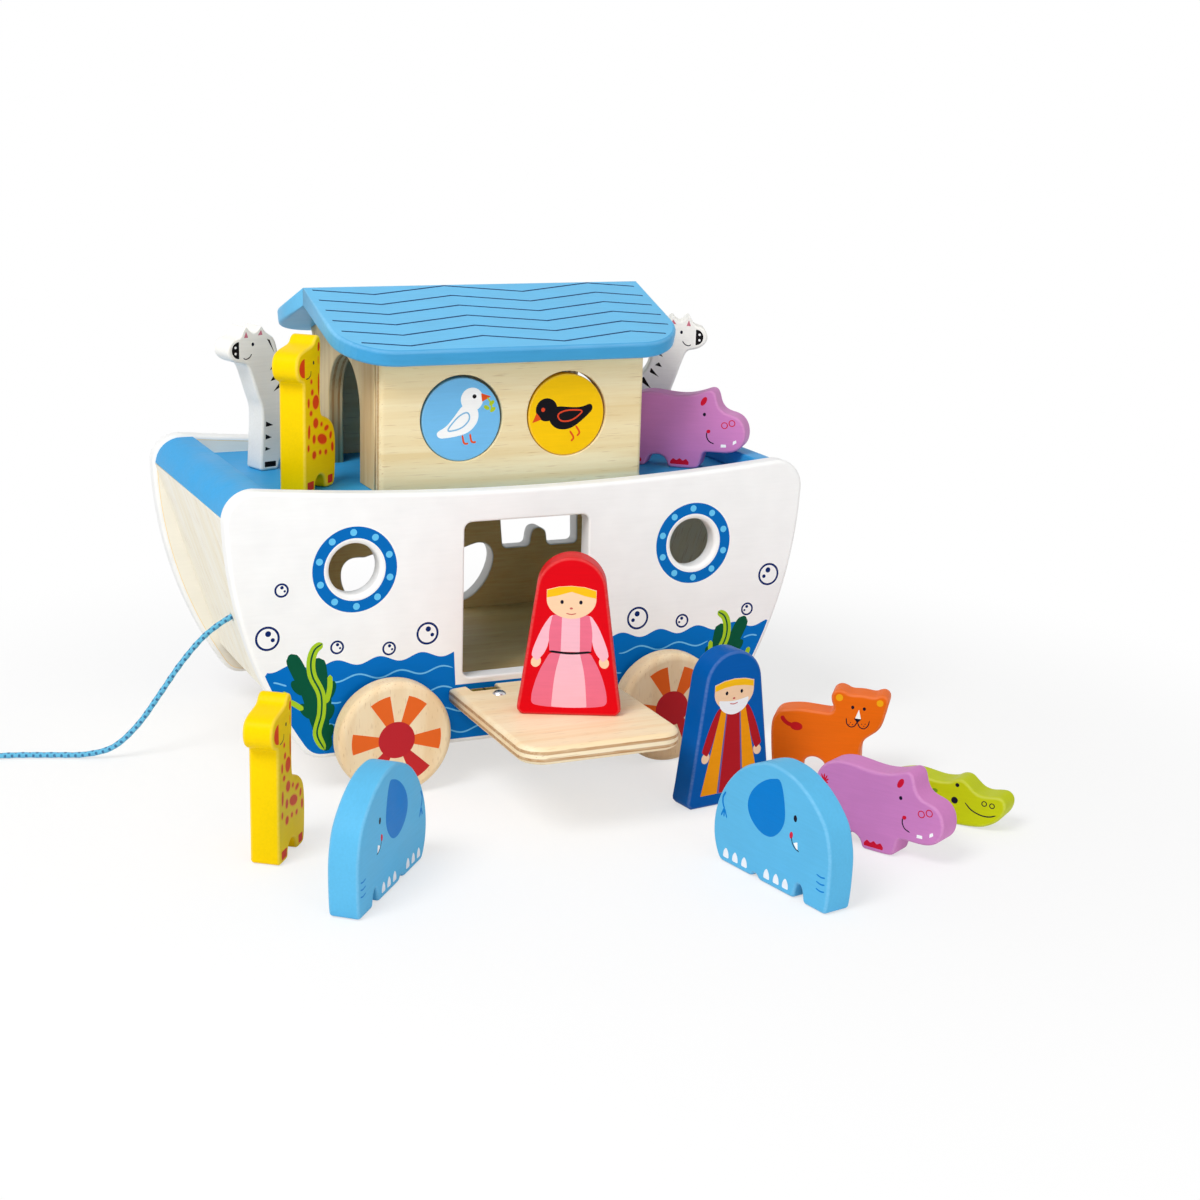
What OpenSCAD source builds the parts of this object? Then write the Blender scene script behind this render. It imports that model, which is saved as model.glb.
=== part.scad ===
// Wooden toy ark on four wheels with a fold-down ramp, a lift-off roof, a pull cord,
// two loose window discs and a set of flat wooden figures.
// Millimetres, +Z up, origin on the table under the middle of the whole set.
// The hull lies along X with its bow at -X; the ramp opens towards -Y.

/* [Hull] */
// Length of the side panels at their widest
hull_length = 304.6; // [300:0.2:312]
// Width over both side panels
hull_width = 160; // [156:1:170]
// Thickness of each side panel
panel_t = 10; // [8:0.5:11]
// Height of the lower edge of the side panels above the table
keel_z = 18; // [15:0.5:20]
// Radius of the curved ends of the side panels
end_sweep = 215; // [200:1:260]
// Height at which the side panels are longest
brow_z = 142; // [138:1:144]
// Height of the upper edge of the side panels at mid-length
sheer_mid_z = 145; // [144:0.5:147]
// Rise of the upper edge from mid-length to the rounded corners
sheer_rise = 6.5; // [6:0.5:9]
// Radius of the upper corners of the side panels
corner_r = 15; // [12:0.5:18]
// Radius of the portholes
porthole_r = 12.5; // [10:0.5:14]
// Distance of each porthole from mid-length
porthole_x = 90; // [80:1:96]
// Height of the porthole centres
porthole_z = 111; // [106:1:114]
// Height of the top of the hold floor
floor_z = 43.4; // [41:0.2:44]
// Thickness of the floor, deck and end boards
board_t = 8; // [6:0.5:9]
// Height of the top of the deck
deck_z = 141; // [140:0.5:142]
// Inset of the end boards and rails behind the curved panel ends
end_inset = 1; // [0.5:0.1:2]
// Width of the rails along the hull
rail_w = 22; // [16:1:26]
// Height of the rails above the deck
rail_h = 9.2; // [8:0.1:11]

/* [Door and ramp] */
// Offset of the door and ramp from mid-length
door_x = -1.5; // [-4:0.5:4]
// Width of the door opening
door_w = 66; // [60:1:68]
// Height of the door sill
sill_z = 51.6; // [51.2:0.1:53]
// Height of the door opening
door_h = 78.4; // [70:0.2:80]
// Corner radius of the door opening
door_r = 4; // [2:0.5:8]
// Width of the ramp
ramp_w = 81; // [76:1:90]
// Reach of the ramp in front of the side panel
ramp_l = 100; // [90:1:104]
// Thickness of the ramp
ramp_t = 8.5; // [8:0.1:9.5]
// Height of the top of the open ramp
ramp_z = 47.5; // [46:0.1:48]
// Radius of the free corners of the ramp
ramp_r = 12; // [6:0.5:20]
// Clearance between the ramp and the side panel
ramp_gap = 0.5; // [0.4:0.05:0.8]
// Radius of the hinge pins
hinge_pin_r = 1.5; // [1.2:0.05:1.6]
// Running clearance of the ramp eyes on the hinge pins
hinge_fit = 0.05; // [0.03:0.01:0.08]
// Distance of each ramp eye from the middle of the ramp
eye_x = 20.5; // [18:0.5:24]
// Distance of the ramp screws from the side panel
screw_y = 17; // [16.8:0.1:20]
// Radius of the dome heads of the ramp screws
screw_head_r = 3.4; // [2.8:0.1:3.5]

/* [Cabin and roof] */
// Height of the long cabin walls above the deck
cabin_h = 66.6; // [62:0.2:72]
// Length of the cabin
cabin_l = 140.4; // [132:0.4:146]
// Width of the cabin
cabin_w = 113.4; // [108:0.4:118]
// Thickness of the cabin walls
wall_t = 8; // [7.5:0.5:9]
// Radius of the window holes
window_r = 21.4; // [19:0.1:23]
// Distance of each window from mid-length
window_x = 28; // [25:0.5:34]
// Height of wall above each window
window_gap = 9.5; // [8:0.5:11]
// Half width of the end wall arches
arch_r = 26; // [20:0.5:28]
// Height of wall above each arch
arch_gap = 25; // [18:1:30]
// Clearance of the window discs in their holes
disc_fit = 0.8; // [0.5:0.1:1.2]
// Thickness of the window discs
disc_t = 7; // [5:0.5:7.5]
// Pitch of the roof in degrees
roof_pitch = 18.1; // [16:0.1:18.6]
// Overhang of the eaves beyond the long walls
eave_over = 13.3; // [8:0.1:16]
// Overhang of the roof beyond the end walls
roof_over = 20.8; // [14:0.1:23]
// Thickness of the roof boards
roof_t = 8.5; // [7:0.1:9]
// Radius of the eave corners
eave_r = 28; // [10:1:36]
// Clearance between the roof and the cabin walls
roof_fit = 0.1; // [0.05:0.05:0.3]

/* [Wheels] */
// Radius of the wheels
wheel_r = 28.7; // [26:0.1:30]
// Thickness of the wheels
wheel_t = 13; // [11:0.5:16]
// Radius of the rounded rims
rim_r = 3.5; // [2:0.5:5]
// Distance of the axles from mid-length
axle_x = 74; // [70:0.5:78]
// Radius of the axle dowels
axle_r = 4; // [3:0.1:5]
// Running clearance of the axles in the side panels
axle_fit = 0.08; // [0.05:0.01:0.1]
// Clearance between the wheels and the side panels
wheel_gap = 2; // [1.5:0.1:3]

/* [Figures] */
// Thickness of every figure
figure_t = 14; // [12:0.5:15]
// Height of the elephants
elephant_h = 56; // [52:0.5:58]
// Height of the giraffes
giraffe_h = 76; // [70:0.5:78]
// Height of the zebras
zebra_h = 74.5; // [68:0.5:76]
// Height of the hippos
hippo_h = 42.5; // [40:0.5:44]
// Height of the lion
lion_h = 47.5; // [44:0.5:48]
// Height of the crocodile
crocodile_h = 23; // [20:0.5:24]
// Height of the two people
person_h = 77; // [70:0.5:80]
// Clearance of the figures in the sorter holes
sorter_fit = 1; // [0.8:0.1:1.4]

/* [Cord] */
// Radius of the pull cord
cord_r = 1.5; // [1.4:0.05:1.5]
// Clearance of the cord in its hole
cord_fit = 0.8; // [0.5:0.1:1.2]

/* [Hidden] */
$fn = 64;

// Where the middle of the hull stands on the table
ark = [-11.1, 99.2, 0];

// Where the figures on the table and the ramp stand: x, y, height of the base, heading of the nose
at_elephant_left = [-127.6, -96.1, 0, 229.4];
at_elephant_right = [38.4, -154.1, 0, -79.5];
at_giraffe_table = [-159.8, -47.2, 0, 233.7];
at_hippo_table = [102, -134, 0, -62];
at_lion = [130.6, -40.1, 0, -38];
at_crocodile = [148.9, -106.0, 0, -55];
at_woman = [-12.1, -34.3, ramp_z, -24.3];
at_man = [62.5, -52.6, 0, 8.1];

// Hull measures
half_l = hull_length / 2;
half_w = hull_width / 2;
inner_w = half_w - panel_t;
function hull_x(z) = half_l - end_sweep + sqrt(end_sweep * end_sweep - (z - brow_z) * (z - brow_z));
corner_x = half_l - corner_r;
corner_z = sheer_mid_z + sheer_rise - corner_r;
function sheer(x) = sheer_mid_z + sheer_rise * (x / corner_x) * (x / corner_x);

// End boards: they lean along a line through two points just behind the curved panel ends and
// reach from the underside of the floor to the middle of the deck board
end_foot = floor_z - board_t;
end_top = deck_z - board_t / 2;
end_bottom = keel_z + 2;
end_top_x = hull_x(end_top) - end_inset;
end_bottom_x = hull_x(end_bottom) - end_inset;
end_lean = atan2(end_top_x - end_bottom_x, end_top - end_bottom);
function end_x(z) = end_bottom_x + (z - end_bottom) * tan(end_lean);
function end_inner_x(z) = end_x(z) - board_t / cos(end_lean);
deck_half = end_inner_x(deck_z - board_t) - 2;

// Rails: they sit on the deck's ends, rounded like the upper corners of the side panels
rail_fit = 0.3;
rail_in = half_l - rail_w;
rail_top = deck_z + rail_h;
rail_round = corner_r - end_inset - rail_fit;

// Ramp hinge axis, along X
hinge_y = -half_w - ramp_gap - ramp_t / 2;
hinge_z = ramp_z - ramp_t / 2;
ring_r = ramp_t / 2 - 0.6;
ring_w = 6;
lug_x = eye_x + ring_w + 1;
notch_in = eye_x - ring_w / 2 - 1;
notch_out = lug_x + ring_w / 2 + 1;
notch_d = ramp_t / 2 + 0.8;
tang_l = screw_y + 4;

// Roof measures
roof_l = cabin_l + 2 * roof_over;
roof_w = cabin_w + 2 * eave_over;
roof_drop = roof_t / cos(roof_pitch);
ridge_z = deck_z + cabin_h + roof_fit + cabin_w / 2 * tan(roof_pitch) + roof_drop;
function roof_under(y) = ridge_z - roof_drop - abs(y) * tan(roof_pitch);
slope_l = roof_w / 2 / cos(roof_pitch);
window_z = deck_z + cabin_h - window_gap - window_r;
arch_z = roof_under(0) - arch_gap - arch_r;

// Where the figures on the deck stand: clear of the roof's bow end, or between its stern end and the rail
at_giraffe_deck = [ark[0] - roof_l / 2 - 9.7, ark[1] - 34.2, deck_z, 226];
at_zebra_bow = [ark[0] - roof_l / 2 - 13.9, ark[1] + 23.3, deck_z, 196];
at_zebra_stern = [ark[0] + half_l - 35.1, ark[1] + 19.6, deck_z, -23.4];
at_hippo_deck = [ark[0] + half_l / 2 + roof_l / 4 - 16.05, ark[1] - 31, deck_z, -39];
gusset_w = 36;
gusset_clear = 0.6;

// Axle measures
axle_z = wheel_r;
wheel_in = half_w + wheel_gap;
wheel_out = wheel_in + wheel_t;
axle_end = wheel_out - 3;
glue_fit = 0.02;

// Points of an arc about c, radius r, from angle a to angle b in n steps
function arc(c, r, a, b, n) = [for (i = [0:n]) c + r * [cos(a + (b - a) * i / n), sin(a + (b - a) * i / n)]];

// Rectangle with rounded corners
function soft_rect(x0, x1, z0, z1, r) = concat(
    arc([x1 - r, z0 + r], r, -90, 0, 6),
    arc([x1 - r, z1 - r], r, 0, 90, 6),
    arc([x0 + r, z1 - r], r, 90, 180, 6),
    arc([x0 + r, z0 + r], r, 180, 270, 6)
);

// Outline with each corner replaced by two points, at most d away along both edges
function nearer(p, q, d) = p + (q - p) * min(d / norm(q - p), 0.3);
function soften(o, d) = let (n = len(o)) [
    for (i = [0:n - 1], k = [0, 1])
        k == 0 ? nearer(o[i], o[(i + n - 1) % n], d) : nearer(o[i], o[(i + 1) % n], d)
];

// Outline grown by d, each point moved along the bisector of its two edge normals
function edge_out(p, q) = let (v = (q - p) / norm(q - p)) [v[1], -v[0]];
function grow(o, d) = let (n = len(o)) [
    for (i = [0:n - 1])
        let (a = edge_out(o[(i + n - 1) % n], o[i]), b = edge_out(o[i], o[(i + 1) % n]))
        o[i] + (a + b) * d / (1 + max(a * b, -0.5))
];

function flip(o) = [for (i = [len(o) - 1:-1:0]) [-o[i][0], o[i][1]]];
function sized(o, h, h0) = [for (p = o) p * h / h0];

// Side panel outline: right half from the keel to mid-length, then its mirror image
heel = [hull_x(keel_z), keel_z];
heel_end = [hull_x(keel_z + 6), keel_z + 6];
half_panel = concat(
    [for (i = [0:3]) let (t = i / 4)
        (1 - t) * (1 - t) * (heel - [7, 0]) + 2 * t * (1 - t) * heel + t * t * heel_end],
    [for (i = [0:11]) let (z = keel_z + 6 + (corner_z - keel_z - 6) * i / 12) [hull_x(z), z]],
    arc([corner_x, corner_z], corner_r, 0, 90, 8),
    [for (i = [9:-1:1]) let (x = corner_x * i / 10) [x, sheer(x)]]
);
panel_outline = concat(half_panel, [[0, sheer(0)]], flip(half_panel));

// Figure outlines: nose towards +x, feet on the base line
elephant_outline = sized([
    [-34, 0], [-12, 0], [-10.5, 2], [-8, 2], [-6.5, 0], [17, 0], [17.5, 3], [18.5, 6.5], [20.5, 8],
    [22.5, 6], [23.5, 0], [38, 0], [39, 7], [39.5, 16], [39.5, 25], [38, 31.5], [36, 37.5], [31.5, 43],
    [25, 48.5], [18, 52.5], [11, 55], [4, 56], [-4, 56], [-12.5, 53], [-20.5, 49], [-27, 43.5],
    [-32.5, 37], [-37, 29], [-39.5, 20], [-39.5, 11], [-37, 4]
], elephant_h, 56);
hippo_outline = sized([
    [-31, 0], [-18, 0], [-17, 2.5], [-15.5, 5.5], [-12, 6.5], [-8.5, 6], [-6, 3.5], [-5, 0], [8.5, 0],
    [11.5, 1], [12.5, 5.5], [13.5, 9.5], [20.5, 9.5], [26.5, 9.5], [31.5, 11], [35, 14.5], [36, 19.5],
    [35, 24.5], [32.5, 28], [29, 29.8], [25, 30.6], [22, 32.4], [20.2, 35.5], [19.4, 39], [18, 41.8],
    [15.5, 42.5], [12, 41], [7, 39.4], [2, 38.5], [-4.5, 38.5], [-13.5, 39.5], [-18, 39.5],
    [-23, 38.5], [-27, 36.5], [-30.5, 32.5], [-33.5, 24], [-34, 14], [-33, 5]
], hippo_h, 42.5);
lion_outline = sized([
    [-27.5, 0], [-13, 0], [-12.5, 6], [-10.5, 10], [-6, 11], [-1.5, 8.5], [-0.5, 5], [0, 0], [16.5, 0],
    [16.5, 4], [16, 16], [17.5, 22], [20.5, 24.5], [25, 28], [27, 33], [28, 38.5], [29, 42],
    [28.6, 45], [26.2, 46.6], [23.6, 46], [21.4, 44.8], [15.5, 45.8], [9.5, 45.3], [7, 46.8],
    [4.2, 47.5], [1.5, 46.5], [0, 44],
    [0.5, 40.5], [2, 37.5], [0.5, 34.5], [-7.5, 35], [-15, 35.5], [-22.5, 34.5], [-26.5, 33],
    [-29.5, 28], [-29, 15]
], lion_h, 47.5);
crocodile_outline = sized([
    [-38, 0], [-14, 0], [-12, 2.5], [-4, 2.5], [-2, 0], [25, 0], [33.5, 3.5], [38, 8], [39.6, 12.5],
    [39, 16], [36.5, 18], [33, 17.8], [28.5, 16.8], [24.5, 17.6], [21.5, 20], [18.5, 22.6], [16, 23],
    [13.6, 22.4], [11, 20.6], [5, 19.8], [-1, 20.6], [-8, 21.5],
    [-15, 20], [-24, 16.5], [-32, 12], [-40, 6], [-40.5, 2]
], crocodile_h, 23);
zebra_outline = sized([
    [-24, 0], [-14, 0], [-13, 5], [-9, 7.5], [-5, 5], [-4, 0], [7, 0], [6, 13.5], [5, 31.5], [8, 39],
    [12, 51.5], [14, 55], [20, 56], [24, 59], [25, 63], [22.5, 67.5], [17.4, 68.6], [15.9, 71.4],
    [14, 74.5], [11.9, 71.4], [9.8, 70.4], [7.4, 71.6], [5.3, 74.5], [3.3, 71], [0.8, 69.4], [-2.4, 67.4],
    [-4.2, 62], [-5.4, 52], [-8, 44], [-13, 40], [-20, 38.5], [-24, 34], [-25, 26], [-24.5, 10]
], zebra_h, 74.5);
giraffe_outline = sized([
    [-17, 0], [-9, 0], [-8, 5], [-5, 7.5], [-1, 7.5], [2, 5], [2.5, 0], [13, 0], [13, 54.5],
    [16.5, 55.3], [19.3, 57.8], [20.4, 61.5], [20, 65.4], [18, 68.4], [14, 70], [8, 71], [3.2, 72],
    [1.4, 74.8], [-0.8, 76], [-3.6, 75.5], [-4.8, 72], [-3.8, 55], [-3.8, 40], [-5, 36.8],
    [-14, 33.8], [-19, 28.5], [-20, 18], [-19, 3]
], giraffe_h, 76);
person_top = 16.5;
person_outline = sized(concat(
    [[-25, 0], [25, 0], [23.5, 10]],
    arc([0, 77 - person_top], person_top, 5, 175, 12),
    [[-23.5, 10]]
), person_h, 77);

// Long hole for the crocodile and for whatever else goes in lying down
long_outline = [
    [-30, 0], [15, 0], [25, 2.4], [30.4, 6.4], [34.8, 11.8], [37.8, 18], [39.2, 24], [38.2, 28.8],
    [35.4, 31.6], [31.6, 32.6], [27, 31.6], [22, 29.8], [15, 29.6], [0, 31], [-20, 31.4], [-31.6, 30.2],
    [-36, 28.6], [-39.6, 29], [-43.6, 28.8], [-46.4, 27.4], [-48.6, 24.2], [-49, 20], [-48.4, 15.4],
    [-46, 10], [-41, 4]
];

// Sorter holes in the back panel: outline, place along the hull, height of the base
sorter_holes = [
    [flip(giraffe_outline), -100, 55.9],
    [long_outline, 0, 47.6],
    [lion_outline, 74.5, 78]
];

// Board standing in the XZ plane, from y0 towards +Y
module upright(y0, t) {
    translate([0, y0 + t, 0])
        rotate([90, 0, 0])
            linear_extrude(t)
                children();
}

// Board with its profile in the YZ plane, from x0 towards +X
module lengthwise(x0, l) {
    translate([x0, 0, 0])
        rotate([90, 0, 90])
            linear_extrude(l)
                children();
}

// Round hole or dowel along Y from y0 to y1
module along_y(x, z, r, y0, y1) {
    translate([x, y0, z])
        rotate([-90, 0, 0])
            cylinder(r = r, h = y1 - y0);
}

// Round hole or dowel along X from x0 to x1
module along_x(y, z, r, x0, x1) {
    translate([x0, y, z])
        rotate([0, 90, 0])
            cylinder(r = r, h = x1 - x0);
}

module axle_holes(y0) {
    for (s = [-1, 1])
        along_y(s * axle_x, axle_z, axle_r + axle_fit, y0 - 1, y0 + panel_t + 1);
}

// Side panel towards the ramp: door, portholes, axle holes, holes for the hinge lugs
module hull_side_front() {
    color("white")
        translate(ark)
            difference() {
                upright(-half_w, panel_t)
                    polygon(panel_outline);
                upright(-half_w - 1, panel_t + 2)
                    polygon(soft_rect(door_x - door_w / 2, door_x + door_w / 2,
                        sill_z, sill_z + door_h, door_r));
                for (s = [-1, 1])
                    along_y(s * porthole_x, porthole_z, porthole_r, -half_w - 1, -inner_w + 1);
                axle_holes(-half_w);
                for (s = [-1, 1])
                    along_y(door_x + s * lug_x, hinge_z, 2, -half_w - 1, -half_w + 7);
            }
}

// Side panel away from the ramp, with the sorter holes
module hull_side_back() {
    color("white")
        translate(ark)
            difference() {
                upright(inner_w, panel_t)
                    polygon(panel_outline);
                axle_holes(inner_w);
                for (h = sorter_holes)
                    translate([h[1], 0, h[2]])
                        upright(inner_w - 1, panel_t + 2)
                            polygon(grow(soften(h[0], 2), sorter_fit));
            }
}

module hull_floor() {
    z0 = floor_z - board_t;
    color("burlywood")
        translate(ark)
            upright(-inner_w, 2 * inner_w)
                polygon([
                    [-end_inner_x(z0) + 0.1, z0], [end_inner_x(z0) - 0.1, z0],
                    [end_inner_x(floor_z) - 0.1, floor_z], [-end_inner_x(floor_z) + 0.1, floor_z]
                ]);
}

module end_board() {
    upright(-inner_w, 2 * inner_w)
        polygon([
            [end_inner_x(end_foot), end_foot], [end_x(end_foot), end_foot],
            [end_x(end_top), end_top], [end_inner_x(end_top), end_top]
        ]);
}

// The bow board has the hole for the pull cord, square to its face
cord_hole_z = 70;
cord_out = [-cos(end_lean), 0, -sin(end_lean)];
cord_hole = [-end_x(cord_hole_z), 0, cord_hole_z];

module bow_board() {
    color("burlywood")
        translate(ark)
            difference() {
                mirror([1, 0, 0])
                    end_board();
                translate(cord_hole + 3 * cord_out)
                    rotate([0, 90 - end_lean, 0])
                        cylinder(r = cord_r + cord_fit, h = board_t + 6);
            }
}

module stern_board() {
    color("burlywood")
        translate(ark)
            end_board();
}

module end_rail() {
    seat_x = deck_half + rail_fit;
    upright(-inner_w, 2 * inner_w)
        polygon(concat(
            [[rail_in, deck_z], [seat_x, deck_z], [seat_x, end_top], [end_top_x, end_top]],
            arc([corner_x, rail_top - rail_round], rail_round, 18, 90, 7),
            [[rail_in, rail_top]]
        ));
}

module bow_rail() {
    color("dodgerblue")
        translate(ark)
            mirror([1, 0, 0])
                end_rail();
}

module stern_rail() {
    color("dodgerblue")
        translate(ark)
            end_rail();
}

module deck_board() {
    color("dodgerblue")
        translate(ark + [-deck_half, -inner_w, deck_z - board_t])
            cube([2 * deck_half, 2 * inner_w, board_t]);
}

// Long cabin wall, its top planed to the roof pitch
module long_wall() {
    y0 = cabin_w / 2;
    y1 = y0 - wall_t;
    lengthwise(-cabin_l / 2, cabin_l)
        polygon([
            [-y0, deck_z], [-y1, deck_z],
            [-y1, roof_under(y1) - roof_fit], [-y0, roof_under(y0) - roof_fit]
        ]);
}

module cabin_wall_front() {
    color("burlywood")
        translate(ark)
            difference() {
                long_wall();
                for (s = [-1, 1])
                    along_y(s * window_x, window_z, window_r, -cabin_w / 2 - 1, -cabin_w / 2 + wall_t + 1);
            }
}

module cabin_wall_back() {
    color("burlywood")
        translate(ark)
            mirror([0, 1, 0])
                long_wall();
}

// Short cabin wall with a gable top and an arch down to the deck
module short_wall() {
    y1 = cabin_w / 2 - wall_t;
    difference() {
        lengthwise(cabin_l / 2 - wall_t, wall_t)
            polygon([
                [-y1, deck_z], [y1, deck_z], [y1, roof_under(y1) - roof_fit],
                [0, roof_under(0) - roof_fit], [-y1, roof_under(y1) - roof_fit]
            ]);
        translate([cabin_l / 2 - wall_t - 1, -arch_r, deck_z - 1])
            cube([wall_t + 2, 2 * arch_r, arch_z - deck_z + 1]);
        along_x(0, arch_z, arch_r, cabin_l / 2 - wall_t - 1, cabin_l / 2 + 1);
    }
}

module cabin_end_bow() {
    color("burlywood")
        translate(ark)
            mirror([1, 0, 0])
                short_wall();
}

module cabin_end_stern() {
    color("burlywood")
        translate(ark)
            short_wall();
}

// Loose disc, lying at the bottom of its window hole
module window_disc(s) {
    y0 = -cabin_w / 2 + 0.5;
    translate(ark)
        along_y(s * window_x, window_z - disc_fit + 0.1, window_r - disc_fit, y0, y0 + disc_t);
}

module window_disc_bow() {
    color("skyblue")
        window_disc(-1);
}

module window_disc_stern() {
    color("gold")
        window_disc(1);
}

// Sloping roof board, mitred at the ridge, eave corners rounded
module roof_board() {
    difference() {
        translate([0, 0, ridge_z])
            rotate([roof_pitch, 0, 0])
                translate([0, 0, -roof_t])
                    linear_extrude(roof_t)
                        polygon(concat(
                            [[roof_l / 2, 5], [-roof_l / 2, 5]],
                            arc([-roof_l / 2 + eave_r, -slope_l + eave_r], eave_r, 180, 270, 8),
                            arc([roof_l / 2 - eave_r, -slope_l + eave_r], eave_r, 270, 360, 8)
                        ));
        translate([-roof_l, 0, ridge_z - 2 * roof_t])
            cube([2 * roof_l, 20, 4 * roof_t]);
    }
}

module roof_board_front() {
    color("skyblue")
        translate(ark)
            roof_board();
}

module roof_board_back() {
    color("skyblue")
        translate(ark)
            mirror([0, 1, 0])
                roof_board();
}

// Three-sided block under the ridge that joins the roof boards and fits inside the end walls
module roof_gusset() {
    lengthwise(cabin_l / 2 - wall_t - gusset_clear - board_t, board_t)
        polygon([[-gusset_w, roof_under(gusset_w)], [gusset_w, roof_under(gusset_w)], [0, roof_under(0)]]);
}

module roof_gusset_bow() {
    color("burlywood")
        translate(ark)
            mirror([1, 0, 0])
                roof_gusset();
}

module roof_gusset_stern() {
    color("burlywood")
        translate(ark)
            roof_gusset();
}

// Lug on the side panel: ring round the hinge pin, neck to the panel, shank in the panel
module hinge_lug(s) {
    x0 = door_x + s * lug_x - ring_w / 2;
    translate(ark)
        difference() {
            union() {
                along_x(hinge_y, hinge_z, ring_r, x0, x0 + ring_w);
                translate([x0, hinge_y, hinge_z - 2])
                    cube([ring_w, -half_w - hinge_y, 4]);
                along_y(x0 + ring_w / 2, hinge_z, 2, -half_w - 1, -half_w + 7);
            }
            along_x(hinge_y, hinge_z, hinge_pin_r, x0 - 1, x0 + ring_w + 1);
        }
}

module hinge_lug_bow() {
    color("goldenrod")
        hinge_lug(-1);
}

module hinge_lug_stern() {
    color("goldenrod")
        hinge_lug(1);
}

module hinge_pin(s) {
    a = eye_x - ring_w / 2 - 0.4;
    b = lug_x + ring_w / 2 + 0.4;
    translate(ark)
        along_x(hinge_y, hinge_z, hinge_pin_r, door_x + min(s * a, s * b), door_x + max(s * a, s * b));
}

module hinge_pin_bow() {
    color("silver")
        hinge_pin(-1);
}

module hinge_pin_stern() {
    color("silver")
        hinge_pin(1);
}

// Ramp: back edge round about the hinge axis above, square below so that it stops level
module ramp_door() {
    x0 = door_x - ramp_w / 2;
    x1 = door_x + ramp_w / 2;
    y_free = -half_w - ramp_l;
    z0 = ramp_z - ramp_t;
    y_back = hinge_y + ramp_t / 2;
    color("wheat")
        translate(ark)
            difference() {
                intersection() {
                    lengthwise(x0, ramp_w)
                        polygon(concat(
                            [[y_free, z0], [y_back, z0]],
                            arc([hinge_y, hinge_z], ramp_t / 2, 0, 90, 8),
                            [[y_free, ramp_z]]
                        ));
                    translate([0, 0, z0 - 1])
                        linear_extrude(ramp_t + 2)
                            polygon(concat(
                                [[x1, y_back + 1], [x0, y_back + 1]],
                                arc([x0 + ramp_r, y_free + ramp_r], ramp_r, 180, 270, 8),
                                arc([x1 - ramp_r, y_free + ramp_r], ramp_r, 270, 360, 8)
                            ));
                }
                for (s = [-1, 1]) {
                    translate([door_x + s * (notch_in + notch_out) / 2 - (notch_out - notch_in) / 2,
                        hinge_y - notch_d, z0 - 1])
                        cube([notch_out - notch_in, notch_d + ramp_t, ramp_t + 2]);
                    translate([door_x + s * eye_x - ring_w / 2 - 0.1, -half_w - tang_l - 0.2, hinge_z - 1.6])
                        cube([ring_w + 0.2, tang_l - ramp_t, 3.2]);
                    translate([door_x + s * eye_x, -half_w - screw_y, z0 + 1])
                        cylinder(r = 1.52, h = ramp_t);
                }
            }
}

// Eye in the ramp: ring round the hinge pin and a flat tang held by the screw
module ramp_eye(s) {
    x0 = door_x + s * eye_x - ring_w / 2;
    translate(ark)
        difference() {
            union() {
                along_x(hinge_y, hinge_z, ring_r, x0, x0 + ring_w);
                translate([x0, -half_w - tang_l, hinge_z - 1.5])
                    cube([ring_w, tang_l + half_w + hinge_y, 3]);
            }
            along_x(hinge_y, hinge_z, hinge_pin_r + hinge_fit, x0 - 1, x0 + ring_w + 1);
            translate([door_x + s * eye_x, -half_w - screw_y, hinge_z - 3])
                cylinder(r = 1.52, h = 6);
        }
}

module ramp_eye_bow() {
    color("goldenrod")
        ramp_eye(-1);
}

module ramp_eye_stern() {
    color("goldenrod")
        ramp_eye(1);
}

// Screw with a low dome head: a slice of a ball on a round shank
module ramp_screw(s) {
    dome_h = 1.8;
    ball_r = (screw_head_r * screw_head_r + dome_h * dome_h) / (2 * dome_h);
    translate(ark + [door_x + s * eye_x, -half_w - screw_y, ramp_z]) {
        translate([0, 0, 1.1 - ramp_t])
            cylinder(r = 1.5, h = ramp_t - 1);
        rotate_extrude()
            polygon(concat(
                [[0, 0]],
                [for (i = [0:6]) let (a = asin(screw_head_r / ball_r) * (1 - i / 6))
                    [ball_r * sin(a), dome_h - ball_r * (1 - cos(a))]]
            ));
    }
}

module ramp_screw_bow() {
    color("silver")
        ramp_screw(-1);
}

module ramp_screw_stern() {
    color("silver")
        ramp_screw(1);
}

module axle(s) {
    translate(ark)
        along_y(s * axle_x, axle_z, axle_r, -axle_end, axle_end);
}

module axle_bow() {
    color("burlywood")
        axle(-1);
}

module axle_stern() {
    color("burlywood")
        axle(1);
}

// Wheel with a rounded rim and a blind hole for the axle, outer face towards -Y
module wheel(s) {
    translate([s * axle_x, -wheel_in, axle_z])
        rotate([90, 0, 0])
            difference() {
                rotate_extrude()
                    polygon(concat(
                        [[0, 0]],
                        arc([wheel_r - rim_r, rim_r], rim_r, -90, 0, 5),
                        arc([wheel_r - rim_r, wheel_t - rim_r], rim_r, 0, 90, 5),
                        [[0, wheel_t]]
                    ));
                translate([0, 0, -1])
                    cylinder(r = axle_r + glue_fit, h = axle_end - wheel_in + 1);
            }
}

module wheel_bow_front() {
    color("wheat")
        translate(ark)
            wheel(-1);
}

module wheel_bow_back() {
    color("wheat")
        translate(ark)
            mirror([0, 1, 0])
                wheel(-1);
}

module wheel_stern_front() {
    color("wheat")
        translate(ark)
            wheel(1);
}

module wheel_stern_back() {
    color("wheat")
        translate(ark)
            mirror([0, 1, 0])
                wheel(1);
}

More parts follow.
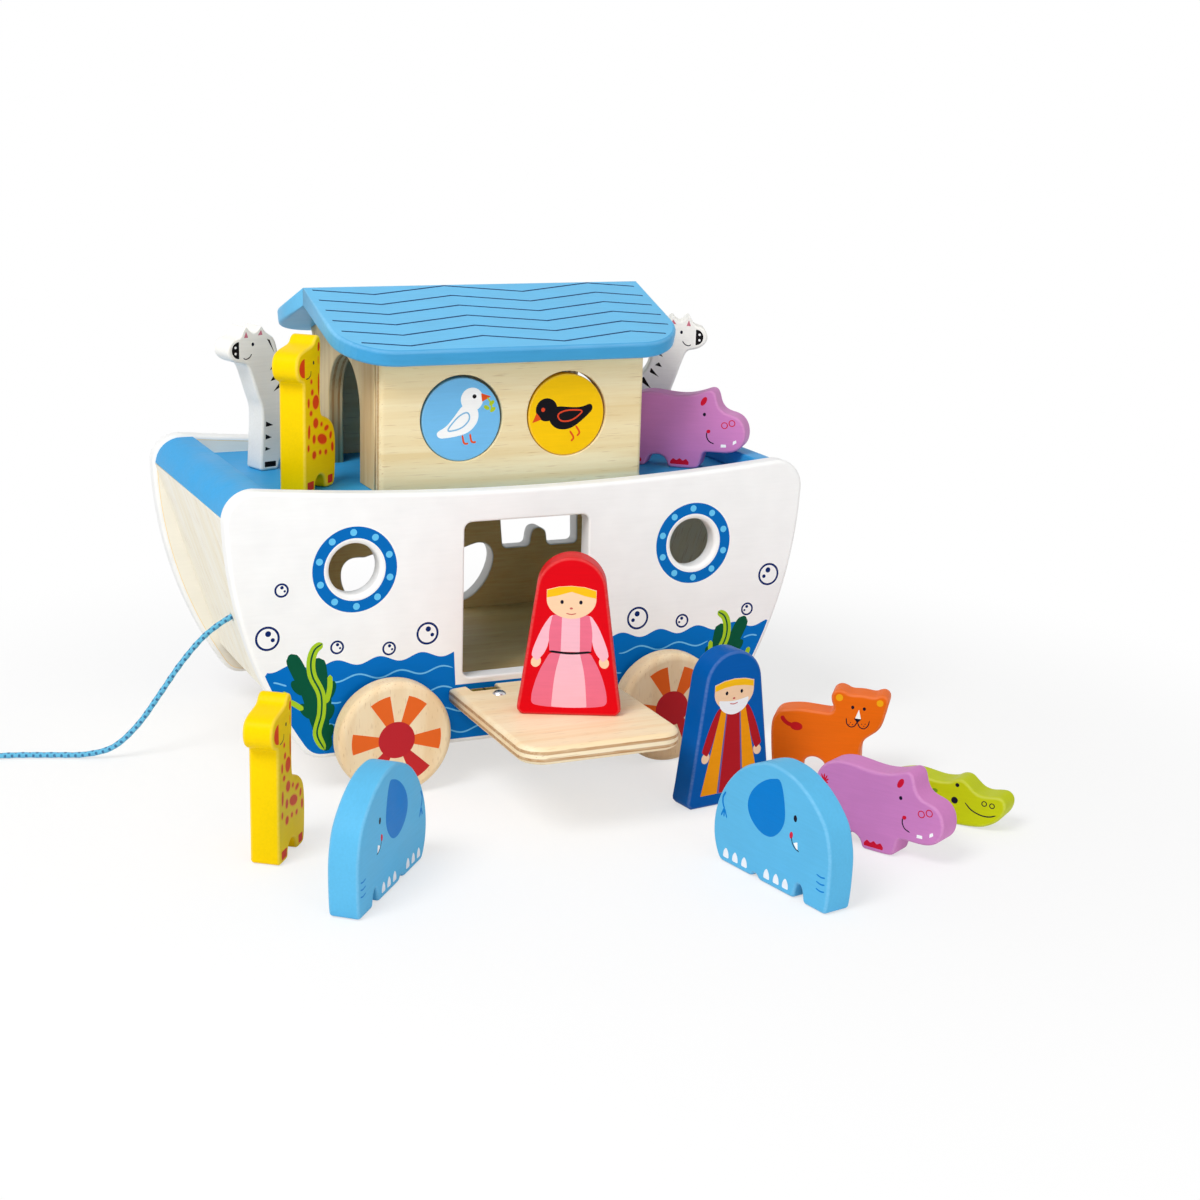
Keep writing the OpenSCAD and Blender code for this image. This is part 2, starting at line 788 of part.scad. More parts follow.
// Cord coil: two flat layers, in along the lower one and out along the upper one, then off the edge
coil_c = [-266, 45];
coil_turns = 2;
coil_pitch = 2 * cord_r + 0.9;
coil_out_r = 20;
coil_z = 1.6;
coil_in_r = coil_out_r - coil_pitch * coil_turns;
tail_k = 2 * coil_turns + 0.25;
tail_grow = 30;
function coil_r(k) =
    k <= coil_turns ? coil_out_r - coil_pitch * k :
    k <= coil_turns + 0.5 ? coil_in_r :
    coil_in_r + coil_pitch * (k - coil_turns - 0.5) + tail_grow * max(0, k - tail_k);
function coil_h(k) = coil_z + coil_pitch * min(1, max(0, (k - coil_turns) * 2)) - max(0, k - tail_k);
coil_n = 24;
coil_rings = coil_n * (2 * coil_turns + 0.5);
coil_path = [
    for (i = [0:coil_rings]) let (k = i / coil_n, a = -90 - 360 * k)
        [coil_c[0] + coil_r(k) * cos(a), coil_c[1] + coil_r(k) * sin(a), coil_h(k)]
];

// Free cord: straight out of its hole, down to the table and on to the coil
cord_start = cord_hole - (board_t + 0.3) * cord_out;
cord_route = [
    [-144, 0, 61], [-156, 0, 48], [-167, 0, 33], [-178, 1, 18], [-190, 4, 6.5], [-203, 9, 2.2],
    [-218, 15, 1.6], [-234, 20.5, 1.6], [-250, 24, 1.6]
];
coil_start = [coil_c[0], coil_c[1] - coil_out_r, coil_z];
cord_points = concat(
    [cord_start - 6 * cord_out, cord_start, cord_hole + 2 * cord_out],
    cord_route,
    [coil_start + [6, 0, 0], coil_start, coil_start - [6, 0, 0]]
);
cord_steps = 3;

// Catmull-Rom curve from b to c
function spline(a, b, c, d, t) = 0.5 * (2 * b + (c - a) * t + (2 * a - 5 * b + 4 * c - d) * t * t
    + (3 * b - a - 3 * c + d) * t * t * t);
cord_path = concat(
    [for (i = [1:len(cord_points) - 3], j = [0:cord_steps - 1])
        spline(cord_points[i - 1], cord_points[i], cord_points[i + 1], cord_points[i + 2], j / cord_steps)],
    [coil_start]
);

// Tube along a path: a ring of n points at every path point, joined by triangles
function unit(v) = v / norm(v);
function way(p, i) = i == 0 ? unit(p[1] - p[0]) :
    i == len(p) - 1 ? unit(p[i] - p[i - 1]) : unit(p[i + 1] - p[i - 1]);
function tube_points(p, r, n) = [
    for (i = [0:len(p) - 1])
        let (t = way(p, i), u = unit(cross(t, [0, 0, 1])), v = cross(u, t))
        for (k = [0:n - 1]) p[i] + r * (cos(360 * k / n) * u + sin(360 * k / n) * v)
];
function tube_faces(m, n) = concat(
    [for (k = [1:n - 2]) [0, k, k + 1]],
    [for (i = [0:m - 2], k = [0:n - 1]) let (a = i * n + k, b = i * n + (k + 1) % n) [a, a + n, b]],
    [for (i = [0:m - 2], k = [0:n - 1]) let (a = i * n + k, b = i * n + (k + 1) % n) [b, a + n, b + n]],
    [for (k = [1:n - 2]) let (e = (m - 1) * n) [e, e + k + 1, e + k]]
);
module tube(p, r, n) {
    polyhedron(points = tube_points(p, r, n), faces = tube_faces(len(p), n));
}

// Least distance between path points at least half a turn apart, less the cord's diameter
coil_gap = min([
    for (i = [0:coil_rings - coil_n / 2])
        min([for (j = [i + coil_n / 2:coil_rings]) norm(coil_path[i] - coil_path[j])])
]) - 2 * cord_r;
function path_length(p) = norm_sum([for (i = [1:len(p) - 1]) norm(p[i] - p[i - 1])], 0);
function norm_sum(v, i) = i == len(v) ? 0 : v[i] + norm_sum(v, i + 1);
echo(coil_gap = coil_gap, cord_length = path_length(cord_path) + path_length(coil_path));

module pull_cord() {
    color("lightskyblue")
        translate(ark)
            tube(cord_path, cord_r, 8);
}

module cord_coil() {
    color("lightskyblue")
        translate(ark)
            tube(coil_path, cord_r, 6);
}

// Knot: a barrel that starts flat where the cord ends
module knot() {
    rotate_extrude()
        polygon(concat(
            [[0, 0]],
            arc([cord_r + 0.5, 3.2], 3.2, -90, 90, 8),
            [[0, 6.4]]
        ));
}

// Knot behind the hole, wider than the hole
module cord_knot() {
    color("lightskyblue")
        translate(ark + cord_start)
            rotate([0, 90 - end_lean, 0])
                knot();
}

// Knot at the free end of the cord, lying on the table beside the coil
module cord_end_knot() {
    tip = coil_path[coil_rings];
    before = coil_path[coil_rings - 1];
    color("lightskyblue")
        translate(ark + tip)
            rotate([0, 90, atan2(tip[1] - before[1], tip[0] - before[0])])
                knot();
}

// Flat figure standing on its feet, nose along its heading
module figure(outline, at) {
    translate([at[0], at[1], at[2]])
        rotate([0, 0, at[3]])
            upright(-figure_t / 2, figure_t)
                polygon(soften(outline, 2));
}

module elephant_left() {
    color("skyblue")
        figure(elephant_outline, at_elephant_left);
}

module elephant_right() {
    color("skyblue")
        figure(elephant_outline, at_elephant_right);
}

module giraffe_table() {
    color("gold")
        figure(giraffe_outline, at_giraffe_table);
}

module giraffe_deck() {
    color("gold")
        figure(giraffe_outline, at_giraffe_deck);
}

module zebra_bow() {
    color("lightgray")
        figure(zebra_outline, at_zebra_bow);
}

module zebra_stern() {
    color("lightgray")
        figure(zebra_outline, at_zebra_stern);
}

module hippo_table() {
    color("orchid")
        figure(hippo_outline, at_hippo_table);
}

module hippo_deck() {
    color("orchid")
        figure(hippo_outline, at_hippo_deck);
}

module lion() {
    color("darkorange")
        figure(lion_outline, at_lion);
}

module crocodile() {
    color("yellowgreen")
        figure(crocodile_outline, at_crocodile);
}

module woman() {
    color("crimson")
        figure(person_outline, at_woman);
}

module man() {
    color("royalblue")
        figure(person_outline, at_man);
}

hull_side_front();
hull_side_back();
hull_floor();
bow_board();
stern_board();
bow_rail();
stern_rail();
deck_board();
cabin_wall_front();
cabin_wall_back();
cabin_end_bow();
cabin_end_stern();
window_disc_bow();
window_disc_stern();
roof_board_front();
roof_board_back();
roof_gusset_bow();
roof_gusset_stern();
hinge_lug_bow();
hinge_lug_stern();
hinge_pin_bow();
hinge_pin_stern();
ramp_door();
ramp_eye_bow();
ramp_eye_stern();
ramp_screw_bow();
ramp_screw_stern();
axle_bow();
axle_stern();
wheel_bow_front();
wheel_bow_back();
wheel_stern_front();
wheel_stern_back();
pull_cord();
cord_coil();
cord_knot();
cord_end_knot();
elephant_left();
elephant_right();
giraffe_table();
giraffe_deck();
zebra_bow();
zebra_stern();
hippo_table();
hippo_deck();
lion();
crocodile();
woman();
man();
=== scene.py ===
import math

import bpy
import numpy as np
from mathutils import Matrix, Vector, geometry


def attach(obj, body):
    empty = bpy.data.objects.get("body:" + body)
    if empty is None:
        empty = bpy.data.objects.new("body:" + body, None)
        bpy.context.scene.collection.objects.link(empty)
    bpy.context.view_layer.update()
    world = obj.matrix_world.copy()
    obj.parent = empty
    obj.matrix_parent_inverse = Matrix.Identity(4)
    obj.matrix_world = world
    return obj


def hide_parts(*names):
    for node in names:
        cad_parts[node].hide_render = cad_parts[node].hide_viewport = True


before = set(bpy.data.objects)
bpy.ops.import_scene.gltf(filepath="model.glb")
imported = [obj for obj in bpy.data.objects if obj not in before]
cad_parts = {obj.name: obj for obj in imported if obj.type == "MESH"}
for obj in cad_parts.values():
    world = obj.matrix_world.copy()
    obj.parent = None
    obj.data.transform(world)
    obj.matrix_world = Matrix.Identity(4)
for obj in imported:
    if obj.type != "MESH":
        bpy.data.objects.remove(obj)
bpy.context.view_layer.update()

# The camera stands at the bow quarter, a little above the roof, turned about 25 degrees to the hull
# and looking 15 degrees down through a long lens, as the toy was photographed. The picture's width,
# the focal length and the optical centre are in the picture's pixels.
PICTURE, FOCAL, MIDDLE_X, MIDDLE_Y = 1200, 2021.159, 591.701, 598.667
SENSOR = 36.0
lens_at = np.array([-0.386553, -0.871863, 0.349074])
yaw, pitch, roll = 0.43068, 0.26180, 0.02949
sight = np.array([math.sin(yaw) * math.cos(pitch), math.cos(yaw) * math.cos(pitch), -math.sin(pitch)])
level = np.array([math.cos(yaw), -math.sin(yaw), 0.0])
rise = np.cross(level, sight)
across = math.cos(roll) * level + math.sin(roll) * rise
upward = -math.sin(roll) * level + math.cos(roll) * rise
camera = bpy.data.objects.new("camera", bpy.data.cameras.new("camera"))
bpy.context.scene.collection.objects.link(camera)
turn = np.eye(4)
turn[:3, :4] = np.stack([across, upward, -sight, lens_at], 1)
camera.matrix_world = Matrix(turn.tolist())
camera.data.sensor_width = SENSOR
camera.data.lens = SENSOR * FOCAL / PICTURE
camera.data.shift_x = (PICTURE / 2 - MIDDLE_X) / PICTURE
camera.data.shift_y = (MIDDLE_Y - PICTURE / 2) / PICTURE
camera.data.clip_start, camera.data.clip_end = 0.01, 20.0
bpy.context.scene.camera = camera

# Pull cord: about 0.63 m of light-blue braided cord, 3 mm thick, knotted behind the hole in the bow
# board. It drops to the table, runs off to the bow and ends in a small coil and a knot.
ARK = np.array([-11.1, 99.2, 0.0])
CORD_R, CORD_STEP = 1.5, 0.55
STRANDS, BRAID_PITCH = 4, 7.0


def srgb(r, g, b):
    """Linear colour of an 8-bit display colour: each channel over 255, plus 0.055, over 1.055, to the
    power 2.4, or over 12.92 where it is nearly black."""
    c = np.array([r, g, b]) / 255
    return (*np.where(c <= 0.04045, c / 12.92, ((c + 0.055) / 1.055) ** 2.4).tolist(), 1.0)


def wire(mat, kind, feeds=None, **settings):
    """Outputs of a new shader node: its settings are set, and each feed is linked if it is a socket, else
    set as a value."""
    node = mat.node_tree.nodes.new("ShaderNode" + kind)
    for key, value in settings.items():
        setattr(node, key, value)
    for key, value in (feeds or {}).items():
        if isinstance(value, bpy.types.NodeSocket):
            mat.node_tree.links.new(value, node.inputs[key])
        else:
            node.inputs[key].default_value = value
    return node.outputs


def reckon(mat, operation, a, b=0.0):
    """Two numbers or sockets joined by one arithmetic operation."""
    return wire(mat, "Math", {0: a, 1: b}, operation=operation)[0]


def span(mat, value, low, high, start=0.0, end=1.0):
    """A number carried from the stretch start-end to the stretch low-high in a straight line."""
    return wire(mat, "MapRange", {0: value, 1: start, 2: end, 3: low, 4: high})[0]


def tint(mat, share, below, above, blend="MIX"):
    """Two colours mixed by a share from 0 to 1, or the second laid over the first with a blend."""
    feeds = {0: share, 6: below, 7: above}
    return wire(mat, "Mix", feeds, data_type="RGBA", blend_type=blend)[2]


def noise(mat, vector, scale, detail, **more):
    """Soft random pattern from 0 to 1 over a vector."""
    feeds = {"Vector": vector, "Scale": scale, "Detail": detail, **more}
    return wire(mat, "TexNoise", feeds)[0]


def object_place(mat):
    """The place on the piece, in its object's coordinates."""
    return wire(mat, "TexCoord")["Object"]


def new_finish(name):
    """An empty material with its shader: a Principled surface wired to the output."""
    mat = bpy.data.materials.new(name)
    mat.use_nodes = True
    return mat, mat.node_tree.nodes["Principled BSDF"]


def feed(mat, socket, shader, name):
    """Links a socket to the shader's named input."""
    mat.node_tree.links.new(socket, shader.inputs[name])


def emboss(mat, shader, height, strength):
    """Relief in the surface's shading, up to 0.2 mm deep, from a pattern."""
    feeds = {"Strength": strength, "Distance": 0.0002, "Height": height}
    feed(mat, wire(mat, "Bump", feeds)[0], shader, "Normal")


def new_piece(name, points, faces):
    """Smooth-shaded mesh object from points in millimetres."""
    mesh = bpy.data.meshes.new(name)
    mesh.from_pydata((points * 0.001).tolist(), [], faces)
    mesh.polygons.foreach_set("use_smooth", np.ones(len(mesh.polygons), bool))
    piece = bpy.data.objects.new(name, mesh)
    bpy.context.scene.collection.objects.link(piece)
    return piece


def smooth_path(points, steps):
    """Catmull-Rom curve through the points: between b and c it is half of
    2b + (c-a)t + (2a-5b+4c-d)t^2 + (3b-a-3c+d)t^3."""
    p = np.asarray(points, float)
    a, b, c, d = p[:-3, None], p[1:-2, None], p[2:-1, None], p[3:, None]
    t = (np.arange(steps) / steps)[None, :, None]
    square, cube = 2 * a - 5 * b + 4 * c - d, 3 * b - a - 3 * c + d
    curve = 0.5 * (2 * b + (c - a) * t + square * t**2 + cube * t**3)
    return np.concatenate([curve.reshape(-1, p.shape[1]), p[-2:-1]])


def even_path(path, gap):
    """The same line with points a fixed distance apart, measured along it."""
    run = np.concatenate([[0.0], np.cumsum(np.linalg.norm(np.diff(path, axis=0), axis=1))])
    at = np.linspace(0.0, run[-1], max(3, int(round(run[-1] / gap)) + 1))
    return np.stack([np.interp(at, run, path[:, k]) for k in range(path.shape[1])], 1), at


def rope(name, path, radius, sides, closed=False):
    """Braided tube: a ring of points round every path point, its radius swelling by a tenth with the
    strands, which are two families of waves that wind round the cord in opposite senses."""
    p, at = even_path(path, CORD_STEP)
    if closed:
        p, at = p[:-1], at[:-1]
        way = np.roll(p, -1, 0) - np.roll(p, 1, 0)
    else:
        way = np.gradient(p, axis=0)
    way /= np.linalg.norm(way, axis=1)[:, None]
    side = np.cross(way, [0.0, 0.0, 1.0])
    side /= np.linalg.norm(side, axis=1)[:, None]
    over = np.cross(side, way)
    n, m = len(p), sides
    turn = 2 * np.pi * np.arange(m) / m
    winding = at[:, None] * 2 * np.pi / BRAID_PITCH
    left, right = np.sin(STRANDS * turn[None] + winding), np.sin(STRANDS * turn[None] - winding)
    r = radius * (0.90 + 0.10 * np.maximum(left, right))
    spoke = np.cos(turn)[None, :, None] * side[:, None] + np.sin(turn)[None, :, None] * over[:, None]
    rows = n if closed else n - 1
    i, k = np.meshgrid(np.arange(rows), np.arange(m), indexing="ij")
    here, ahead, beside = i * m, ((i + 1) % n) * m, (k + 1) % m
    faces = np.stack([here + k, ahead + k, ahead + beside, here + beside], -1).reshape(-1, 4).tolist()
    if not closed:
        faces += [list(range(m)), list(range((n - 1) * m, n * m))[::-1]]
    piece = new_piece(name, (p[:, None] + r[..., None] * spoke).reshape(-1, 3), faces)
    around = np.stack([k, k, k + 1, k + 1], -1) / m
    along = np.stack([i, i + 1, i + 1, i], -1) * CORD_STEP / BRAID_PITCH
    uv = np.zeros((len(piece.data.loops), 2), np.float32)
    uv[: around.size] = np.stack([around, along], -1).reshape(-1, 2)
    piece.data.uv_layers.new(name="strands").data.foreach_set("uv", uv.ravel())
    return piece, p


cord_braid, shader = new_finish("cord_braid")
strands = wire(cord_braid, "UVMap", uv_map="strands")[0]
around, along = (reckon(cord_braid, "MULTIPLY", way, float(STRANDS))
                 for way in wire(cord_braid, "SeparateXYZ", {0: strands})[:2])
left, right = (reckon(cord_braid, "PINGPONG", reckon(cord_braid, sense, around, along), 1.0)
               for sense in ("ADD", "SUBTRACT"))
fleck = span(cord_braid, reckon(cord_braid, "MULTIPLY", left, right), 0.0, 1.0, 0.28, 0.5)
fibre = noise(cord_braid, object_place(cord_braid), 1800.0, 2.0)
blue = tint(cord_braid, fleck, srgb(86, 178, 216), srgb(16, 92, 140))
pale = span(cord_braid, fibre, 0.0, 0.22, 0.4, 0.7)
feed(cord_braid, tint(cord_braid, pale, blue, srgb(150, 205, 236)), shader, "Base Color")
feed(cord_braid, span(cord_braid, fibre, 0.62, 0.9), shader, "Roughness")
shader.inputs["Sheen Weight"].default_value = 0.25
emboss(cord_braid, shader, fibre, 0.4)

HALF_L, END_SWEEP, BROW_Z, KEEL_Z, END_INSET = 152.3, 215.0, 142.0, 18.0, 1.0
DECK_Z, FLOOR_Z, BOARD_T, CORD_HOLE_Z = 141.0, 43.4, 8.0, 70.0
CORD_Z, COIL_AT, COIL_R, COIL_STEP, COIL_TURNS = 1.6, (-266.0, 45.0), 20.0, 3.9, 4.5
COIL_IN, COIL_OUT, COIL_TAIL, TAIL_OUT = 2.0, 2.5, 4.25, 30.0


def panel_end(z):
    """Distance from mid-length to a side panel's curved end: an arc of the sweep's radius, longest at the
    brow."""
    return HALF_L - END_SWEEP + np.sqrt(END_SWEEP**2 - (z - BROW_Z) ** 2)


end_low, end_top = KEEL_Z + 2, DECK_Z - BOARD_T / 2
low_x, top_x = (round(float(panel_end(z)) - END_INSET, 3) for z in (end_low, end_top))
lean = math.atan2(top_x - low_x, end_top - end_low)


def end_face(z):
    """Distance from mid-length to an end board's outer face: a straight line up its lean."""
    return low_x + (z - end_low) * math.tan(lean)


hole = np.array([-end_face(CORD_HOLE_Z), 0.0, CORD_HOLE_Z])
out = np.array([-math.cos(lean), 0.0, -math.sin(lean)])
start = hole - (BOARD_T + 0.3) * out
k = np.linspace(0.0, COIL_TURNS, int(48 * COIL_TURNS) + 1)
widening, tail = (np.maximum(0, k - turns) for turns in (COIL_OUT, COIL_TAIL))
reach = COIL_R + COIL_STEP * (widening - np.minimum(k, COIL_IN)) + TAIL_OUT * tail
height = CORD_Z + COIL_STEP * np.clip((k - COIL_IN) / (COIL_OUT - COIL_IN), 0, 1) - tail
angle = np.radians(-90 - 360 * k)
coil = np.stack([COIL_AT[0] + reach * np.cos(angle), COIL_AT[1] + reach * np.sin(angle), height], 1)
dip = coil[0]
run = smooth_path(
    [start - 6 * out, start, hole + 2 * out, [-144, 0, 61], [-156, 0, 48], [-167, 0, 33], [-178, 1, 18],
     [-190, 4, 6.5], [-203, 9, 2.2], [-218, 15, CORD_Z], [-234, 20.5, CORD_Z], [-250, 24, CORD_Z],
     dip + [6, 0, 0], dip, dip - [6, 0, 0]], 6)
cord, cord_line = rope("pull_cord_braid", np.concatenate([run[:-1], coil]) + ARK, CORD_R, 16)


def overhand_knot(name, at, axis):
    """Trefoil: the cord's middle line at sin t + 2 sin 2t, cos t - 2 cos 2t and -1.3 sin 3t, scaled to the
    knot's size and set square to the axis, just past the point."""
    size, past, tight_r = 1.22, 3.2, 1.45
    t = np.linspace(0, 2 * np.pi, 241)
    ring = [np.sin(t) + 2 * np.sin(2 * t), np.cos(t) - 2 * np.cos(2 * t), -1.3 * np.sin(3 * t)]
    ring = np.stack(ring, 1) * size
    z = axis / np.linalg.norm(axis)
    x = np.cross([0.0, 0.0, 1.0], z)
    x /= np.linalg.norm(x)
    turned = ring[:, :1] * x + ring[:, 1:2] * np.cross(z, x) + ring[:, 2:] * z
    return rope(name, turned + at + past * z, tight_r, 12, closed=True)[0]


inner_knot = overhand_knot("cord_knot_tied", start + ARK, -out)
end_knot = overhand_knot("cord_end_knot_tied", coil[-1] + ARK, coil[-1] - coil[-2])
for piece, node in ((inner_knot, "cord_knot"), (end_knot, "cord_end_knot")):
    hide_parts(node)
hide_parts("pull_cord", "cord_coil")
for piece in (cord, inner_knot, end_knot):
    piece.data.materials.append(cord_braid)
    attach(piece, "ark")

# Hull floor and deck: two flat plywood boards let in between the side panels. The floor is left
# natural, its ply a deeper gold as painted warm shade in the hold; the deck is sprayed blue before
# the cabin is glued on it.
INNER_W = 70.0
BARE = (0.0, 0.0, 0.0, 0.0)
DECK_BLUE = srgb(60, 164, 224)


def ring_of(x, z, r, n=40, r2=None, tilt=0.0):
    """Circle or ellipse: centre plus the two radii times the angle's cosine and sine, turned by the tilt."""
    t = 2 * np.pi * np.arange(n) / n
    a, b = r * np.cos(t), (r if r2 is None else r2) * np.sin(t)
    c, s = math.cos(math.radians(tilt)), math.sin(math.radians(tilt))
    return np.stack([x + c * a - s * b, z + s * a + c * b], 1)


def arc_of(x, z, r, start, end, n):
    """Arc of a circle: centre plus the radius times the cosine and sine of the angle, in degrees."""
    t = np.radians(np.linspace(start, end, n))
    return np.stack([x + r * np.cos(t), z + r * np.sin(t)], 1)


def signed_area(loop):
    """Half the sum of the cross products of each point with the next: positive if it runs anticlockwise."""
    q = np.roll(loop, -1, 0)
    return 0.5 * float((loop[:, 0] * q[:, 1] - loop[:, 1] * q[:, 0]).sum())


def eased(points, corner=2.2, steps=6):
    """Outline with its corners rounded: each corner becomes a quadratic curve that leaves its two edges at
    their middles where the outline bends gently, and a short way from the corner where it bends sharply."""
    sharp, to_middle = 0.8, 30.0
    p = np.asarray(points, float)
    before, after = np.roll(p, 1, 0) - p, np.roll(p, -1, 0) - p
    lb, la = np.linalg.norm(before, axis=1), np.linalg.norm(after, axis=1)
    bend = np.arccos(np.clip(-(before * after).sum(1) / (lb * la), -1, 1))
    cut = np.where(bend < sharp, to_middle, corner)
    a = p + before * np.minimum(cut / lb, 0.5)[:, None]
    b = p + after * np.minimum(cut / la, 0.5)[:, None]
    t = (np.arange(steps) / steps)[None, :, None]
    curve = ((1 - t) ** 2 * a[:, None] + 2 * t * (1 - t) * p[:, None] + t**2 * b[:, None]).reshape(-1, 2)
    return curve[np.linalg.norm(np.roll(curve, -1, 0) - curve, axis=1) > 0.02]


def outward(loop):
    """Unit direction out of the board at every outline point, the mean of the normals of its two edges, and
    how much longer the mitre there is than the edge's own offset."""
    e = np.roll(loop, -1, 0) - loop
    n = np.stack([e[:, 1], -e[:, 0]], 1) / np.linalg.norm(e, axis=1)[:, None]
    m = n + np.roll(n, 1, 0)
    m /= np.maximum(np.linalg.norm(m, axis=1), 1e-6)[:, None]
    return m, 1 / np.clip((m * n).sum(1), 0.55, 1.0)


def grown(loop, by):
    """Outline moved outwards by a distance along the mitres."""
    loop = loop if signed_area(loop) > 0 else loop[::-1]
    m, stretch = outward(loop)
    return loop + m * (stretch * by)[:, None]


def inside(points, loop):
    """True where a level ray from the point crosses the loop an odd number of times."""
    a, b = loop, np.roll(loop, -1, 0)
    px, py = points[:, :1], points[:, 1:]
    straddles = (a[:, 1] > py) != (b[:, 1] > py)
    climb = np.where(b[:, 1] == a[:, 1], 1e-12, b[:, 1] - a[:, 1])
    crossing = (b[:, 0] - a[:, 0]) * (py - a[:, 1]) / climb + a[:, 0]
    return (straddles & (px < crossing)).sum(1) % 2 == 1


def inlaid(loops, prints, ground):
    """Flat face cut into triangles along its edge and along every printed shape, each triangle coloured by
    the last shape that its middle lies in. Returns the points, the triangles, their colours and each
    point's place on the edge."""
    shapes = list(loops) + [shape for shape, ink in prints]
    count = np.array([len(shape) for shape in shapes])
    first = np.concatenate([[0], np.cumsum(count)[:-1]])
    edges = np.concatenate([
        np.stack([f + np.arange(c), f + (np.arange(c) + 1) % c], 1) for f, c in zip(first, count)])
    flat = np.concatenate(shapes)
    got = geometry.delaunay_2d_cdt([Vector(v) for v in flat.tolist()], edges.tolist(), [], 0, 1e-5)
    pts, tri = np.array([v[:] for v in got[0]]), np.array(got[2])
    rim = int(count[: len(loops)].sum())
    on_edge = np.array([min(ids, default=len(flat)) for ids in got[3]])
    on_edge = np.where(on_edge < rim, on_edge, -1)
    mid = pts[tri].mean(1)
    keep = inside(mid, loops[0])
    for gap in loops[1:]:
        keep &= ~inside(mid, gap)
    tri, mid = tri[keep], mid[keep]
    colour = np.tile(np.array(ground, float), (len(tri), 1))
    for shape, ink in prints:
        colour[inside(mid, shape)] = ink
    return pts, tri, colour, on_edge


def board(name, loops, thick, soft, place, ground, front=(), back=(), front_ground=None, back_ground=None,
          slant=None, steps=5):
    """Flat board with rounded edges: an outline and its holes carried through the thickness, set in at both
    faces along a quarter circle of the edge's radius. place is its origin and its width, depth and height
    directions. ground is the edge's colour, one for all or one for each outline point. slant shifts an
    outline point along the height as it goes deeper, for a cut that isn't square."""
    origin, U, D, V = (np.asarray(v, float) for v in place)
    a = np.linspace(0, np.pi / 2, steps + 1)[:, None]
    away = np.concatenate([np.sin(a), np.sin(a[::-1])])
    facing = np.concatenate([-np.cos(a), np.cos(a[::-1])])
    rows = len(away)
    co, nor, colour, wear_sheen_weight, faces, tops, ends, total = [], [], [], [], [], [], [], 0
    for j, loop in enumerate(loops):
        loop = loop if (signed_area(loop) > 0) == (j == 0) else loop[::-1]
        n = len(loop)
        m, stretch = outward(loop)
        r = np.broadcast_to(np.asarray(soft[j], float), (n,))[None]
        inset, depth = r * (1 - np.sin(a)), r * (1 - np.cos(a))
        inset = np.concatenate([inset, inset[::-1]])
        depth = np.concatenate([depth, thick - depth[::-1]])
        uv = loop[None] - (m * stretch[:, None])[None] * inset[..., None]
        if slant is not None and j == 0:
            uv = uv + np.stack([np.zeros_like(depth), depth * slant], -1)
        co.append(np.concatenate([uv[..., :1], depth[..., None], uv[..., 1:]], -1).reshape(-1, 3))
        sides = [away * m[None, :, 0], np.broadcast_to(facing, (rows, n)), away * m[None, :, 1]]
        nor.append(np.stack(sides, -1).reshape(-1, 3))
        # Paler edge weight, highest halfway round the rounding: less paint there and a painted highlight.
        wear_sheen_weight.append(np.broadcast_to(2 * away * np.abs(facing), (rows, n)).ravel())
        y, x = np.meshgrid(np.arange(rows - 1), np.arange(n), indexing="ij")
        after = (x + 1) % n
        quad = np.stack([y * n + x, (y + 1) * n + x, (y + 1) * n + after, y * n + after], -1) + total
        faces += quad.reshape(-1, 4).tolist()
        edge = np.broadcast_to(np.asarray(ground, float), (n, 4))
        colour.append(np.repeat(np.tile(edge, (rows - 1, 1)), 4, 0))
        tops.append((uv[0], total + np.arange(n)))
        ends.append((uv[-1], total + (rows - 1) * n + np.arange(n)))
        total += rows * n
    for caps, prints, own, depth, way in ((tops, front, front_ground, 0.0, -1.0),
                                          (ends, back, back_ground, thick, 1.0)):
        pts, tri, paint, on_edge = inlaid([c[0] for c in caps], list(prints), ground if own is None else own)
        fresh = on_edge < 0
        added = int(fresh.sum())
        index = np.empty(len(pts), int)
        index[fresh] = total + np.arange(added)
        index[~fresh] = np.concatenate([c[1] for c in caps])[on_edge[~fresh]]
        total += added
        co.append(np.stack([pts[fresh, 0], np.full(added, depth), pts[fresh, 1]], 1))
        nor.append(np.tile([0.0, way, 0.0], (added, 1)))
        wear_sheen_weight.append(np.zeros(added))
        faces += index[tri[:, ::-1] if way > 0 else tri].tolist()
        colour.append(np.repeat(paint, 3, 0))
    co, nor = np.concatenate(co), np.concatenate(nor)
    basis = np.stack([U, D, V])
    piece = new_piece(name, origin + co @ basis, faces)
    for key, kind, domain, field, values in (
            ("print", "FLOAT_COLOR", "CORNER", "color", np.concatenate(colour)),
            ("local", "FLOAT_VECTOR", "POINT", "vector", co * 0.001),
            ("wear_sheen_weight", "FLOAT", "POINT", "value", np.concatenate(wear_sheen_weight))):
        layer = piece.data.attributes.new(key, kind, domain)
        layer.data.foreach_set(field, values.astype(np.float32).ravel())
    piece.data.normals_split_custom_set_from_vertices((nor @ basis).tolist())
    return piece


def fix(piece, finish, body, slot, *nodes):
    """Gives a piece its finish, makes it ride on its body and lets it stand for its solids."""
    piece.data.materials.append(finish)
    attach(piece, body)
    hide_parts(*nodes)


def board_places(mat, along):
    """What a board's mesh carries: the place on the board, the same drawn out along the grain, and the
    printed colour with its cover."""
    local = wire(mat, "Attribute", attribute_name="local")["Vector"]
    drawn = wire(mat, "Mapping", {"Vector": local, "Scale": along})[0]
    ink = wire(mat, "Attribute", attribute_name="print")
    return local, drawn, ink["Color"], ink["Alpha"]


